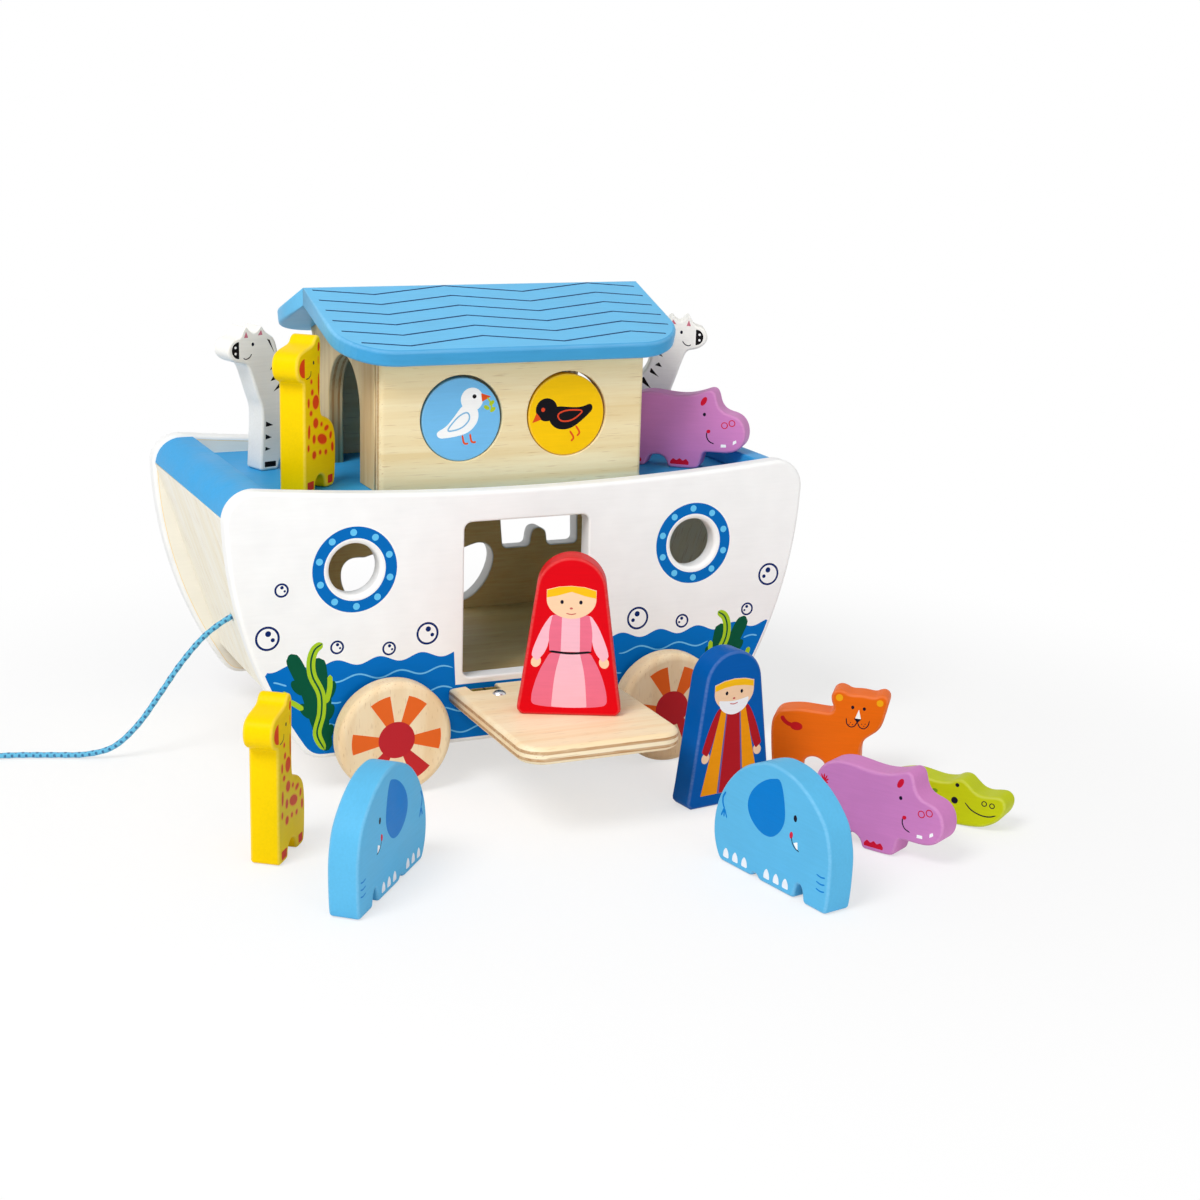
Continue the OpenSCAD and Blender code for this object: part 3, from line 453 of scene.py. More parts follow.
def painted(name, rough, fibres=0.05, along=(55.0, 850.0, 850.0)):
    """Satin paint on close-grained wood: the printed colour, a few percent darker along fine fibres that run
    the board's length, a little paler on the rounded edges, partly because less paint covers them and partly
    as a painted highlight for the edges' sheen, with a faint bump from the fibres. Where nothing is printed
    the wood itself shows, deepened to gold as painted warm shade for the hold."""
    mat, shader = new_finish(name)
    local, drawn, ink, cover = board_places(mat, along)
    wear_sheen_weight = wire(mat, "Attribute", attribute_name="wear_sheen_weight")["Fac"]
    fibre = noise(mat, drawn, 1.0, 4.0, Roughness=0.6)
    cloud = noise(mat, local, 55.0, 2.0)
    streak = span(mat, fibre, 1 - fibres, 1 + 0.4 * fibres, 0.25, 0.7)
    shade = reckon(mat, "MULTIPLY", streak, span(mat, cloud, 0.975, 1.02, 0.3, 0.7))
    body = tint(mat, 1.0, ink, shade, "MULTIPLY")
    # Paler on the rounded edges: partly less paint cover, partly a painted highlight for their sheen.
    wear_and_sheen = reckon(mat, "MULTIPLY", wear_sheen_weight, span(mat, fibre, 0.03, 0.1, 0.3, 0.75))
    body = tint(mat, wear_and_sheen, body, srgb(255, 250, 238))
    # Bare wood where nothing is printed, a deeper gold than pale ply as painted warm shade in the hold.
    raw_and_shade = tint(mat, span(mat, fibre, 0.0, 1.0, 0.3, 0.7), srgb(252, 228, 168), srgb(242, 206, 136))
    feed(mat, tint(mat, cover, raw_and_shade, body), shader, "Base Color")
    feed(mat, span(mat, cloud, rough - 0.06, rough + 0.08, 0.3, 0.7), shader, "Roughness")
    emboss(mat, shader, fibre, 0.14)
    shader.inputs["Specular IOR Level"].default_value = 0.05
    return mat


def bare_wood(name, pale, dark, along, ply=0.0, vein=0.5):
    """Lacquered wood: pale and dark fibres drawn out along the grain, short brown flecks, and, where it is
    plywood, cut edges in layers, told by how many layer thicknesses lie under the face. Printed shapes cover
    it where they are."""
    mat, shader = new_finish(name)
    local, drawn, ink, cover = board_places(mat, along)
    broad = noise(mat, drawn, 0.22, 3.0, Distortion=0.6)
    fibre = noise(mat, drawn, 1.6, 4.0, Roughness=0.65)
    fleck = noise(mat, drawn, 3.1, 1.0)
    wood = tint(mat, span(mat, broad, 0.0, 1.0, 0.35, 0.68), pale, dark)
    wood = tint(mat, span(mat, fibre, 0.0, vein, 0.45, 0.75), wood, dark)
    wood = tint(mat, span(mat, fleck, 0.0, 0.45, 0.64, 0.74), wood, srgb(176, 128, 78))
    if ply:
        deep = wire(mat, "SeparateXYZ", {0: local})[1]
        layer = reckon(mat, "FRACT", reckon(mat, "MULTIPLY", deep, 0.5 / ply))
        low, high = span(mat, layer, 0.0, 1.0, 0.5, 0.56), span(mat, layer, 1.0, 0.0, 0.94, 1.0)
        grainy = span(mat, fibre, 0.5, 0.95, 0.3, 0.7)
        core = reckon(mat, "MULTIPLY", reckon(mat, "MULTIPLY", low, high), grainy)
        wood = tint(mat, core, wood, srgb(178, 122, 66))
    feed(mat, tint(mat, cover, wood, ink), shader, "Base Color")
    feed(mat, span(mat, fibre, 0.42, 0.58, 0.3, 0.7), shader, "Roughness")
    shader.inputs["Specular IOR Level"].default_value = 0.2
    emboss(mat, shader, fibre, 0.22)
    return mat


def oblong(x, z):
    """Rectangle about the middle, from its half sizes."""
    return np.array([[-x, -z], [x, -z], [x, z], [-x, z]])


hull_paint = painted("hull_paint", 0.42, 0.02)
deck_paint = painted("deck_paint", 0.4, 0.09)
# The hold floor's ply is a deeper gold than the end boards' as painted warm shade in the hold.
birch_ply_shaded = bare_wood("birch_ply_shaded", srgb(248, 220, 156), srgb(234, 196, 122), (26.0, 420.0, 420.0), ply=0.0017)
flat = ((1, 0, 0), (0, 0, -1), (0, 1, 0))
end_deep = BOARD_T / math.cos(lean)
deck_half = end_face(DECK_Z - BOARD_T) - end_deep - 2
floor_loop = oblong(end_face(FLOOR_Z) - end_deep, INNER_W)
hold_floor = board("hold_floor", [floor_loop], BOARD_T, [0.3], (ARK + [0, 0, FLOOR_Z], *flat), BARE)
fix(hold_floor, birch_ply_shaded, "ark", "plywood", "hull_floor")
deck_loop = oblong(deck_half, INNER_W)
deck = board("deck_painted", [deck_loop], BOARD_T, [0.3], (ARK + [0, 0, DECK_Z], *flat), DECK_BLUE)
fix(deck, deck_paint, "ark", "rail_blue", "deck_board")

# End boards and rails: a straight board leans out between the panels at the bow and at the stern, left
# natural under clear lacquer. A planed and rounded rail, painted blue, caps each of them.
CORNER_R, RAIL_W, RAIL_H, RAIL_FIT, GLUE_GAP, CORD_HOLE_R = 15.0, 22.0, 9.2, 0.3, 0.05, 2.3
upright = ((1, 0, 0), (0, 1, 0), (0, 0, 1))
birch_pale = bare_wood("birch_pale", srgb(250, 247, 236), srgb(244, 236, 214), (420.0, 420.0, 26.0),
                       ply=0.0016, vein=0.3)
end_foot = FLOOR_Z - BOARD_T
up_foot, up_hole, up_top = ((z - end_low) / math.cos(lean) for z in (end_foot, CORD_HOLE_Z, end_top))
end_loop = np.array([[-INNER_W, up_foot], [INNER_W, up_foot], [INNER_W, up_top], [-INNER_W, up_top]])
corner_x, rail_in, rail_top = HALF_L - CORNER_R, HALF_L - RAIL_W, DECK_Z + RAIL_H
rail_seat, rail_round = deck_half + RAIL_FIT, CORNER_R - END_INSET - RAIL_FIT
rail_loop = np.concatenate([
    [[rail_in, DECK_Z], [rail_seat, DECK_Z], [rail_seat, end_top], [top_x, end_top]],
    arc_of(corner_x, rail_top - rail_round, rail_round, 18, 90, 15), [[rail_in, rail_top]]])
ENDS = (("bow", -1.0), ("stern", 1.0))
for end, side in ENDS:
    V = np.array([side * math.sin(lean), 0, math.cos(lean)])
    D = np.array([-side * math.cos(lean), 0, math.sin(lean)])
    place = (ARK + [side * low_x, 0, end_low], np.cross(D, V), D, V)
    holes = [ring_of(0, up_hole, CORD_HOLE_R, 24)] if end == "bow" else []
    leaning = board(f"{end}_board_lacquered", [end_loop, *holes], BOARD_T, [0.4, 0.5], place, BARE,
                    slant=-math.tan(lean))
    fix(leaning, birch_pale, "ark", "plywood", f"{end}_board")
    loop = eased(rail_loop if side > 0 else (rail_loop * [-1, 1])[::-1], 1.2)
    place = (ARK + [0, GLUE_GAP - INNER_W, 0], *upright)
    rail = board(f"{end}_rail_painted", [loop], 2 * (INNER_W - GLUE_GAP), [0.4], place, DECK_BLUE)
    fix(rail, deck_paint, "ark", "rail_blue", f"{end}_rail")

# Side panels: sawn from 10 mm plywood with the edges rounded over, sprayed white, also where the inner face
# shows past the end boards, and left natural in the hold, where the wood is a deeper gold as painted warm
# shade. Sea, weed, bubbles and porthole rings are printed.
PANEL_T, HALF_W, EDGE_R, PRINT_MARGIN = 10.0, 80.0, 2.1, 2.4
HEEL_RUN, HEEL_TOP, SHEER_MID, SHEER_RISE = 7.0, 24.0, 145.0, 6.5
AXLE_X, AXLE_HOLE_R, WHEEL_R = 74.0, 4.08, 28.7
PORT_X, PORT_Z, PORT_R, PORT_EDGE_R = 90.0, 111.0, 12.5, 2.3
DOOR_BOW, DOOR_STERN, DOOR_SILL, DOOR_HEAD, DOOR_CORNER = -34.5, 31.5, 51.6, 130.0, 4.0
WAVE, WAVE_AT, WAVE_H, SEA_Z, SEA_LOW = 21.52, -77.8, 1.6, 65.4, 22.0
FOAM_H, FOAM_W = 1.45, 0.8
HULL_WHITE, INNER_WHITE = srgb(247, 247, 246), srgb(245, 241, 229)
SEA, FOAM, NAVY = srgb(0, 110, 194), srgb(112, 192, 238), srgb(14, 38, 100)
WEED, LIME, RING, DOT = srgb(8, 84, 58), srgb(166, 202, 40), srgb(0, 106, 186), srgb(104, 198, 242)


def side_panel_loop():
    """Half a panel from the keel up: a small bend at the heel, the arc up the end, a quarter circle at the
    corner, and a top edge that rises with the square of the distance from mid-length; then its mirror
    image."""
    t = np.linspace(0, 1, 7)[:-1, None]
    heel, up = np.array([panel_end(KEEL_Z), KEEL_Z]), np.array([panel_end(HEEL_TOP), HEEL_TOP])
    bend = (1 - t) ** 2 * (heel - [HEEL_RUN, 0]) + 2 * t * (1 - t) * heel + t**2 * up
    corner_z = SHEER_MID + SHEER_RISE - CORNER_R
    z = np.linspace(HEEL_TOP, corner_z, 31)[:-1]
    x = np.linspace(corner_x, 0, 31)[1:-1]
    sheer = np.stack([x, SHEER_MID + SHEER_RISE * (x / corner_x) ** 2], 1)
    corner = arc_of(corner_x, corner_z, CORNER_R, 0, 90, 15)
    half = np.concatenate([bend, np.stack([panel_end(z), z], 1), corner, sheer])
    return np.concatenate([half, [[0.0, SHEER_MID]], (half * [-1, 1])[::-1]])


def soft_box(x0, x1, z0, z1, r, n=7):
    """Rectangle with quarter circles for corners."""
    spin = np.array([[0.0, 1.0], [-1.0, 0.0]])
    corners = [(x1 - r, z1 - r), (x0 + r, z1 - r), (x0 + r, z0 + r), (x1 - r, z0 + r)]
    quarter = arc_of(0, 0, r, 0, 90, n)
    return np.concatenate([p + quarter @ np.linalg.matrix_power(spin, i) for i, p in enumerate(corners)])


def stroke(points, width, taper=0.0, steps=6):
    """Drawn line: a smooth curve through the points, half the width to each side, with ends that come to a
    round point; taper thins it towards the end."""
    p = np.asarray(points, float)
    line = smooth_path(np.concatenate([[2 * p[0] - p[1]], p, [2 * p[-1] - p[-2]]]), steps)
    way = np.gradient(line, axis=0)
    side = np.stack([-way[:, 1], way[:, 0]], 1) / np.linalg.norm(way, axis=1)[:, None]
    s = np.linspace(0, 1, len(line))
    full = np.clip(np.sqrt(np.maximum(1e-3, 1 - np.abs(2 * s - 1) ** 14)), 0.2, 1)
    w = 0.5 * width * full * (1 - taper * s)
    return np.concatenate([line - side * w[:, None], (line + side * w[:, None])[::-1]])


def bubble(x, z, r):
    """Bubble: a dark ring, its pale inside, and two dark glints on the side towards mid-length."""
    s, ring = -math.copysign(1.0, x), 0.75 + 0.06 * r
    return [(ring_of(x, z, r, 36), NAVY), (ring_of(x, z, r - ring, 32), HULL_WHITE),
            (ring_of(x + 0.06 * s * r, z + 0.38 * r, 0.24 * r, 16), NAVY),
            (ring_of(x + 0.43 * s * r, z - 0.15 * r, 0.17 * r, 14), NAVY)]


def swell(x):
    """The waves' cosine, from -1 to 1 along the hull."""
    return np.cos(2 * np.pi * (x - WAVE_AT) / WAVE)


panel = side_panel_loop()
margin = grown(panel, -PRINT_MARGIN)


def sea_print(gaps):
    """Sea from the panel's lower margin up to a row of even waves; above its sill, each gap is a stretch that
    it leaves free."""
    top = lambda x: SEA_Z + WAVE_H * swell(x)
    ends = np.roll(margin, -int(np.argmax(margin[:, 1])), 0)
    low = ends[ends[:, 1] < top(ends[:, 0]) - 0.5]
    x = np.linspace(low[-1, 0], low[0, 0], 260)[1:-1]
    crest = np.stack([x, top(x)], 1)
    for a, b, sill in gaps:
        crest = np.concatenate([crest[crest[:, 0] > b], [[b, sill], [a, sill]], crest[crest[:, 0] < a]])
    return np.concatenate([low, crest]), SEA


def ripple(x0, x1, z):
    """Thin foam line along the waves' own cosine, turned upside down."""
    x = np.linspace(x0, x1, max(6, int((x1 - x0) / 2)))
    return stroke(np.stack([x, z - FOAM_H * swell(x)], 1), FOAM_W, steps=3), FOAM


def porthole_ring(x, z):
    """Flat ring between radii 15.3 and 21 with ten dots spaced evenly round its middle."""
    outer, inner, dots = 21.0, 15.3, 10
    rim = [(ring_of(x, z, outer, 64), RING), (ring_of(x, z, inner, 64), HULL_WHITE)]
    spots = ring_of(0, 0, (outer + inner) / 2, dots, tilt=math.degrees(0.35))
    return rim + [(ring_of(x + a, z + b, 1.7, 16), DOT) for a, b in spots]


def weed_print(side, tall):
    """Clump of kelp at one end: thick dark fronds with round tips and side lobes, a lime ribbon with a dark
    midline in front and two lime sprouts, scaled in height."""
    fronds = (([[104, 22], [107, 32], [110.5, 43], [113.5, 53], [117.5, 62], [122.2, 72]], 7.4),
              ([[104.5, 23], [107, 35], [105.8, 47], [107.4, 58], [108.8, 69]], 7.8))
    lobes = ((102.6, 52, 2.6, 5.2, 22), (103.2, 41, 2.4, 4.6, 24), (118.4, 55, 2.4, 4.8, -40),
             (114.5, 43, 2.4, 4.8, -38), (103.4, 31, 2.2, 4.4, 20))
    ribbon = [[105.5, 22.5], [109.2, 31], [107.0, 41], [107.2, 51], [111.2, 60], [112.0, 67], [110.2, 73],
              [106.2, 76]]
    sprouts = ([[116, 44], [120, 47], [123.6, 49.5], [125.6, 54]], [[104.6, 46], [102.8, 53], [102.6, 60]])
    shapes = [(stroke(line, wide), WEED) for line, wide in fronds]
    shapes += [(ring_of(x, z, a, 24, b, t), WEED) for x, z, a, b, t in lobes]
    shapes += [(stroke(ribbon, 4.4), LIME), (stroke(ribbon, 0.9), WEED)]
    shapes += [(stroke(line, 2.6), LIME) for line in sprouts]
    return [(shape * [side, tall] + [0, SEA_LOW * (1 - tall)], ink) for shape, ink in shapes]


# Inner face: off-white past the end boards, bare wood in the hold, its deeper gold painted warm shade.
hold_loop = np.array([[s * (end_face(z) - end_deep), z] for s, z in (
    (-1, end_foot), (1, end_foot), (1, end_top), (-1, end_top))])
inner_face = [(margin, INNER_WHITE), (hold_loop, BARE)]
axle_holes = [ring_of(s * AXLE_X, WHEEL_R, AXLE_HOLE_R, 24) for s in (-1, 1)]
front_print = [sea_print([(-38.5, 35.5, 48.4)])]
front_print += [ripple(*line) for line in (
    (-130.5, -124, 57.5), (-108, -40, 57.5), (50, 101, 57.5), (122, 130, 57.5), (-105, -97, 47),
    (-52, -40, 47), (37, 52, 47), (97, 105, 47), (-104, -97, 36), (-50, 50, 36), (97, 104, 36),
    (-46, 46, 25))]
front_print += weed_print(-1.0, 1.0) + weed_print(1.0, 0.95)
for spot in ((-125.9, 103.7, 3.5), (-133, 80.8, 6.0), (-99, 73.4, 3.45), (-72.9, 70.4, 3.5),
             (-53.3, 76.2, 5.7), (60, 73.9, 6.0), (85.4, 70.2, 3.7), (123.2, 73.3, 3.5), (134.9, 91.1, 6.0)):
    front_print += bubble(*spot)
front_print += porthole_ring(-PORT_X, PORT_Z) + porthole_ring(PORT_X, PORT_Z)
door = soft_box(DOOR_BOW, DOOR_STERN, DOOR_SILL, DOOR_HEAD, DOOR_CORNER)
portholes = [ring_of(s * PORT_X, PORT_Z, PORT_R, 64) for s in (-1, 1)]
front = board("hull_side_front_printed", [panel, door, *portholes, *axle_holes], PANEL_T,
              [EDGE_R, 1.2, PORT_EDGE_R, PORT_EDGE_R, 0.3, 0.3], (ARK + [0, -HALF_W, 0], *upright),
              HULL_WHITE, front=front_print, back=inner_face, back_ground=BARE)
fix(front, hull_paint, "ark", "hull_white", "hull_side_front")

# The back panel, of the same plywood, has three sawn sorter holes, each 1 mm larger all round than what is
# posted through it: giraffe, lion and, in one long hole, whatever is laid flat. The figures' outlines run
# from the rear foot by the nose.
SORTER_FIT = 1.0
giraffe_loop = eased([
    [-17, 0], [-9, 0], [-8, 5], [-5, 7.5], [-1, 7.5], [2, 5], [2.5, 0], [13, 0], [13, 54.5],
    [16.5, 55.3], [19.3, 57.8], [20.4, 61.5], [20, 65.4], [18, 68.4], [14, 70], [8, 71], [3.2, 72],
    [1.4, 74.8], [-0.8, 76], [-3.6, 75.5], [-4.8, 72], [-3.8, 55], [-3.8, 40], [-5, 36.8], [-14, 33.8],
    [-19, 28.5], [-20, 18], [-19, 3]])
lion_loop = eased([
    [-27.5, 0], [-13, 0], [-12.5, 6], [-10.5, 10], [-6, 11], [-1.5, 8.5], [-0.5, 5], [0, 0], [16.5, 0],
    [16.5, 4], [16, 16], [17.5, 22], [20.5, 24.5], [25, 28], [27, 33], [28, 38.5], [29, 42],
    [28.6, 45], [26.2, 46.6], [23.6, 46], [21.4, 44.8], [15.5, 45.8], [9.5, 45.3], [7, 46.8],
    [4.2, 47.5], [1.5, 46.5], [0, 44], [0.5, 40.5], [2, 37.5], [0.5, 34.5], [-7.5, 35], [-15, 35.5],
    [-22.5, 34.5], [-26.5, 33], [-29.5, 28], [-29, 15]])
long_loop = eased([
    [-30, 0], [15, 0], [25, 2.4], [30.4, 6.4], [34.8, 11.8], [37.8, 18], [39.2, 24], [38.2, 28.8],
    [35.4, 31.6], [31.6, 32.6], [27, 31.6], [22, 29.8], [15, 29.6], [0, 31], [-20, 31.4], [-31.6, 30.2],
    [-36, 28.6], [-39.6, 29], [-43.6, 28.8], [-46.4, 27.4], [-48.6, 24.2], [-49, 20], [-48.4, 15.4],
    [-46, 10], [-41, 4]])
sorter = [grown(giraffe_loop, SORTER_FIT) * [-1, 1] + [-100, 55.9], grown(long_loop, SORTER_FIT) + [0, 47.6],
          grown(lion_loop, SORTER_FIT) + [74.5, 78]]
back_print = [sea_print([(-117, -76.5, 51.9), (-53.2, 43.4, 43.4)])]
back_print += [ripple(*line) for line in (
    (-74, -56, 57.5), (47, 128, 57.5), (-112, -56, 47), (46, 118, 47), (-110, 110, 36), (-60, 60, 25))]
back_print += weed_print(1.0, 0.95)
for spot in ((-131, 92, 5.2), (-64, 90, 3.2), (-84, 104, 4.2), (124, 82, 3.2), (50, 71.5, 3.2),
             (134, 104, 5.0), (-133, 116, 3.2)):
    back_print += bubble(*spot)
back = board("hull_side_back_printed", [panel, *sorter, *axle_holes], PANEL_T,
             [EDGE_R, 0.6, 0.6, 0.6, 0.3, 0.3], (ARK + [0, HALF_W - PANEL_T, 0], *upright), HULL_WHITE,
             back=back_print, front=inner_face, front_ground=BARE)
fix(back, hull_paint, "ark", "hull_white", "hull_side_back")

# Cabin: four walls of 8 mm plywood glued on the deck, their upright corners rounded over. The front wall
# has two round windows, each end wall a gable and an arch down to the deck.
WALL_T, CABIN_X, CABIN_Y, EAVE_Z, ROOF_PITCH = 8.0, 70.2, 56.7, 207.6, math.radians(18.1)
WINDOW_X, WINDOW_Z, WINDOW_R, ARCH_R, ARCH_Z = 28.0, 176.7, 21.4, 26.0, 175.2
wall_ply = bare_wood("wall_ply", srgb(244, 229, 188), srgb(232, 208, 156), (22.0, 520.0, 520.0), ply=0.0016)
gable_ply = bare_wood("gable_ply", srgb(232, 211, 164), srgb(208, 176, 124), (480.0, 480.0, 24.0), ply=0.0016)
tan_roof = math.tan(ROOF_PITCH)
corner_soft, edge_soft, taper = 2.6, 0.3, 3.0
climb = [DECK_Z, DECK_Z + taper, EAVE_Z - taper, EAVE_Z]
stern_edge, bow_edge = [[CABIN_X, z] for z in climb], [[-CABIN_X, z] for z in climb[:0:-1]]
wall_loop = np.array([[-CABIN_X, DECK_Z], *stern_edge, *bow_edge])
wall_soft = np.array([edge_soft, edge_soft, corner_soft, corner_soft] * 2)
planed = tan_roof * (wall_loop[:, 1] == EAVE_Z)
FACES = (("front", -1.0), ("back", 1.0))
for face, sign in FACES:
    windows = [ring_of(s * WINDOW_X, WINDOW_Z, WINDOW_R, 72) for s in (-1, 1)] if face == "front" else []
    place = (ARK + [0, sign * CABIN_Y, 0], (-sign, 0, 0), (0, -sign, 0), (0, 0, 1))
    wall = board(f"cabin_wall_{face}_lacquered", [wall_loop, *windows], WALL_T, [wall_soft, 0.7, 0.7],
                 place, BARE, slant=planed)
    fix(wall, wall_ply, "ark", "plywood", f"cabin_wall_{face}")
apex, gable_y = EAVE_Z + CABIN_Y * tan_roof, CABIN_Y - WALL_T - GLUE_GAP
gable_z = apex - gable_y * tan_roof
gable_loop = np.concatenate([
    [[ARCH_R, DECK_Z], [gable_y, DECK_Z], [gable_y, gable_z], [0, apex], [-gable_y, gable_z],
     [-gable_y, DECK_Z], [-ARCH_R, DECK_Z]], arc_of(0, ARCH_Z, ARCH_R, 180, 0, 41)])
for end, side in ENDS:
    place = (ARK + [side * CABIN_X, 0, 0], (0, side, 0), (-side, 0, 0), (0, 0, 1))
    gable = board(f"cabin_end_{end}_lacquered", [gable_loop], WALL_T, [0.7], place, BARE)
    fix(gable, gable_ply, "ark", "plywood", f"cabin_end_{end}")

# Window discs: two loose discs turned from 7 mm board, one painted pale blue and one yellow, each with
# a plain bird printed in the middle. They lie in the windows' lower edges and can be taken out.
DISC_T, DISC_R, DISC_DROP, DISC_SET_IN, BIRD_SIZE = 7.0, 20.6, 0.7, 0.5, 1.12
WHITE, BLACK, BEAK, LEAF = srgb(250, 250, 248), srgb(20, 18, 24), srgb(226, 82, 30), srgb(178, 200, 40)
disc_paint = painted("disc_paint", 0.36)


def turned_by(shape, degrees):
    """Shape turned anticlockwise about the origin."""
    c, s = math.cos(math.radians(degrees)), math.sin(math.radians(degrees))
    return shape @ np.array([[c, s], [-s, c]])


def perched_bird(ink, line, eye):
    """Plain bird in side view: a drop-shaped body from tail to breast, a round head, a wing leaf, a beak, an
    eye and two legs."""
    body = eased([[-12, -8], [-5, -8.5], [2, -8], [7, -4], [8, 1], [5.5, 5], [1, 5], [-3.5, 0.5], [-8, -3.5],
                  [-13, -5]])
    wing = eased([[-8, -5.5], [-1, -5.5], [3.5, -2], [3, 1.5], [-1, 0.5], [-5, -2.5]])
    beak = eased([[10, 8.5], [14.5, 6.2], [10, 4.6]], 0.5)
    legs = [(stroke([[x, -8.3], [x + 0.4, -12], [x + 2.4, -12.6]], 0.9), BEAK) for x in (-1.0, 2.6)]
    return [(body, ink), (ring_of(5.5, 6.5, 5.2, 36), ink), (grown(wing, 0.45), line),
            (grown(wing, -0.25), ink), (beak, BEAK), (ring_of(6.8, 7.6, 0.95, 16), eye)] + legs


pale_line, red_line = srgb(130, 186, 222), srgb(226, 72, 40)
twig = [(stroke([[13.2, 7.6], [14.6, 4.4], [14.4, 0.8]], 0.8), LEAF)]
twig += [(ring_of(x, z, 1.5, 18, 0.9, t), LEAF) for x, z, t in (
    (14.9, 4.8, 35), (12.3, 3.2, -40), (15.0, 1.8, 30))]
for end, side, slot, ground, bird, flip, tip, held in (
        ("bow", -1, "disc_blue", srgb(118, 190, 236), perched_bird(WHITE, pale_line, BLACK), 1, 8, twig),
        ("stern", 1, "disc_yellow", srgb(252, 200, 10), perched_bird(BLACK, red_line, red_line), -1, 38, [])):
    drawn = [(shape * [flip, 1] + [0.5 * flip, 1.5], ink) for shape, ink in bird] + held
    drawn = [(turned_by(BIRD_SIZE * shape, tip), ink) for shape, ink in drawn]
    place = (ARK + [side * WINDOW_X, DISC_SET_IN - CABIN_Y, WINDOW_Z - DISC_DROP], *upright)
    disc = board(f"window_disc_{end}_printed", [ring_of(0, 0, DISC_R, 72)], DISC_T, [0.8], place, ground,
                 front=drawn, back=drawn)
    fix(disc, disc_paint, f"disc_{end}", slot, f"window_disc_{end}")

# Roof: two sloping boards, mitred and glued at the ridge on two inner gussets, sprayed light blue with
# dark zigzag lines for tiles. The eave edges are a darker blue, as painted shade. It lifts off in one
# piece.
RIDGE_Z, ROOF_T, ROOF_X, ROOF_Y, ROOF_CORNER = 235.175, 8.5, 91.0, 70.0, 28.0
GUSSET_W, GUSSET_X = 36.0, 61.6
TILE_AT, TILE_RUN, TILE_RISE, TILE_WIDE = -57.0, 39.7, 4.35, 1.2
ROOF_BLUE, EAVE_SHADE_BLUE, TILE = srgb(110, 190, 234), srgb(72, 164, 216), srgb(0, 52, 104)
roof_paint = painted("roof_paint", 0.36, 0.06, (40.0, 700.0, 700.0))
slope_l = ROOF_Y / math.cos(ROOF_PITCH)
eave_z = ROOF_CORNER - slope_l
roof_loop = np.concatenate([
    [[ROOF_X, 0.0], [-ROOF_X, 0.0]], arc_of(ROOF_CORNER - ROOF_X, eave_z, ROOF_CORNER, 180, 270, 13),
    arc_of(ROOF_X - ROOF_CORNER, eave_z, ROOF_CORNER, 270, 360, 13)])
at_ridge = roof_loop[:, 1] == 0
# Eave edges: from the roof blue at the corners to a darker blue along the eave, as painted shade.
eave_shade_share = np.interp(np.arange(len(roof_loop)), [1, 8, 20, 27], [0, 1, 1, 0])[:, None]
roof_rim_shaded = (1 - eave_shade_share) * ROOF_BLUE + eave_shade_share * EAVE_SHADE_BLUE


def tile_line(s, reach):
    """Zigzag line down the slope at s: straight runs between points that lie below and above it in turn."""
    bends = TILE_AT + TILE_RUN * np.arange(-2, 5)
    x = np.concatenate([[-reach], bends[np.abs(bends) < reach], [reach]])
    z = np.interp(x, bends, -s - TILE_RISE * (-1.0) ** np.arange(7))
    half = TILE_WIDE / 2
    return np.concatenate([np.stack([x, z - half], 1), np.stack([x, z + half], 1)[::-1]]), TILE


tiles = [tile_line(s, reach) for s, reach in (
    (5.4, 87), (17, 87), (28.5, 87), (40.1, 87), (51.6, 86), (63.2, 80))]
roof_soft = np.where(at_ridge, 0.35, 1.8)
for face, sign in FACES:
    V = np.array([0, -sign * math.cos(ROOF_PITCH), math.sin(ROOF_PITCH)])
    D = np.array([0, -sign * math.sin(ROOF_PITCH), -math.cos(ROOF_PITCH)])
    place = (ARK + [0, 0, RIDGE_Z], (-sign, 0, 0), D, V)
    slope = board(f"roof_board_{face}_painted", [roof_loop], ROOF_T, [roof_soft], place, roof_rim_shaded,
                  front=tiles, front_ground=ROOF_BLUE, back_ground=ROOF_BLUE, slant=-tan_roof * at_ridge)
    fix(slope, roof_paint, "roof", "roof_blue", f"roof_board_{face}")
under = RIDGE_Z - ROOF_T / math.cos(ROOF_PITCH)
gusset_z = under - GUSSET_W * tan_roof
gusset_loop = np.array([[-GUSSET_W, gusset_z], [GUSSET_W, gusset_z], [0, under]])
for end, side in ENDS:
    place = (ARK + [side * GUSSET_X, 0, 0], (0, side, 0), (-side, 0, 0), (0, 0, 1))
    gusset = board(f"roof_gusset_{end}_lacquered", [gusset_loop], WALL_T, [0.4], place, BARE)
    fix(gusset, gable_ply, "roof", "plywood", f"roof_gusset_{end}")

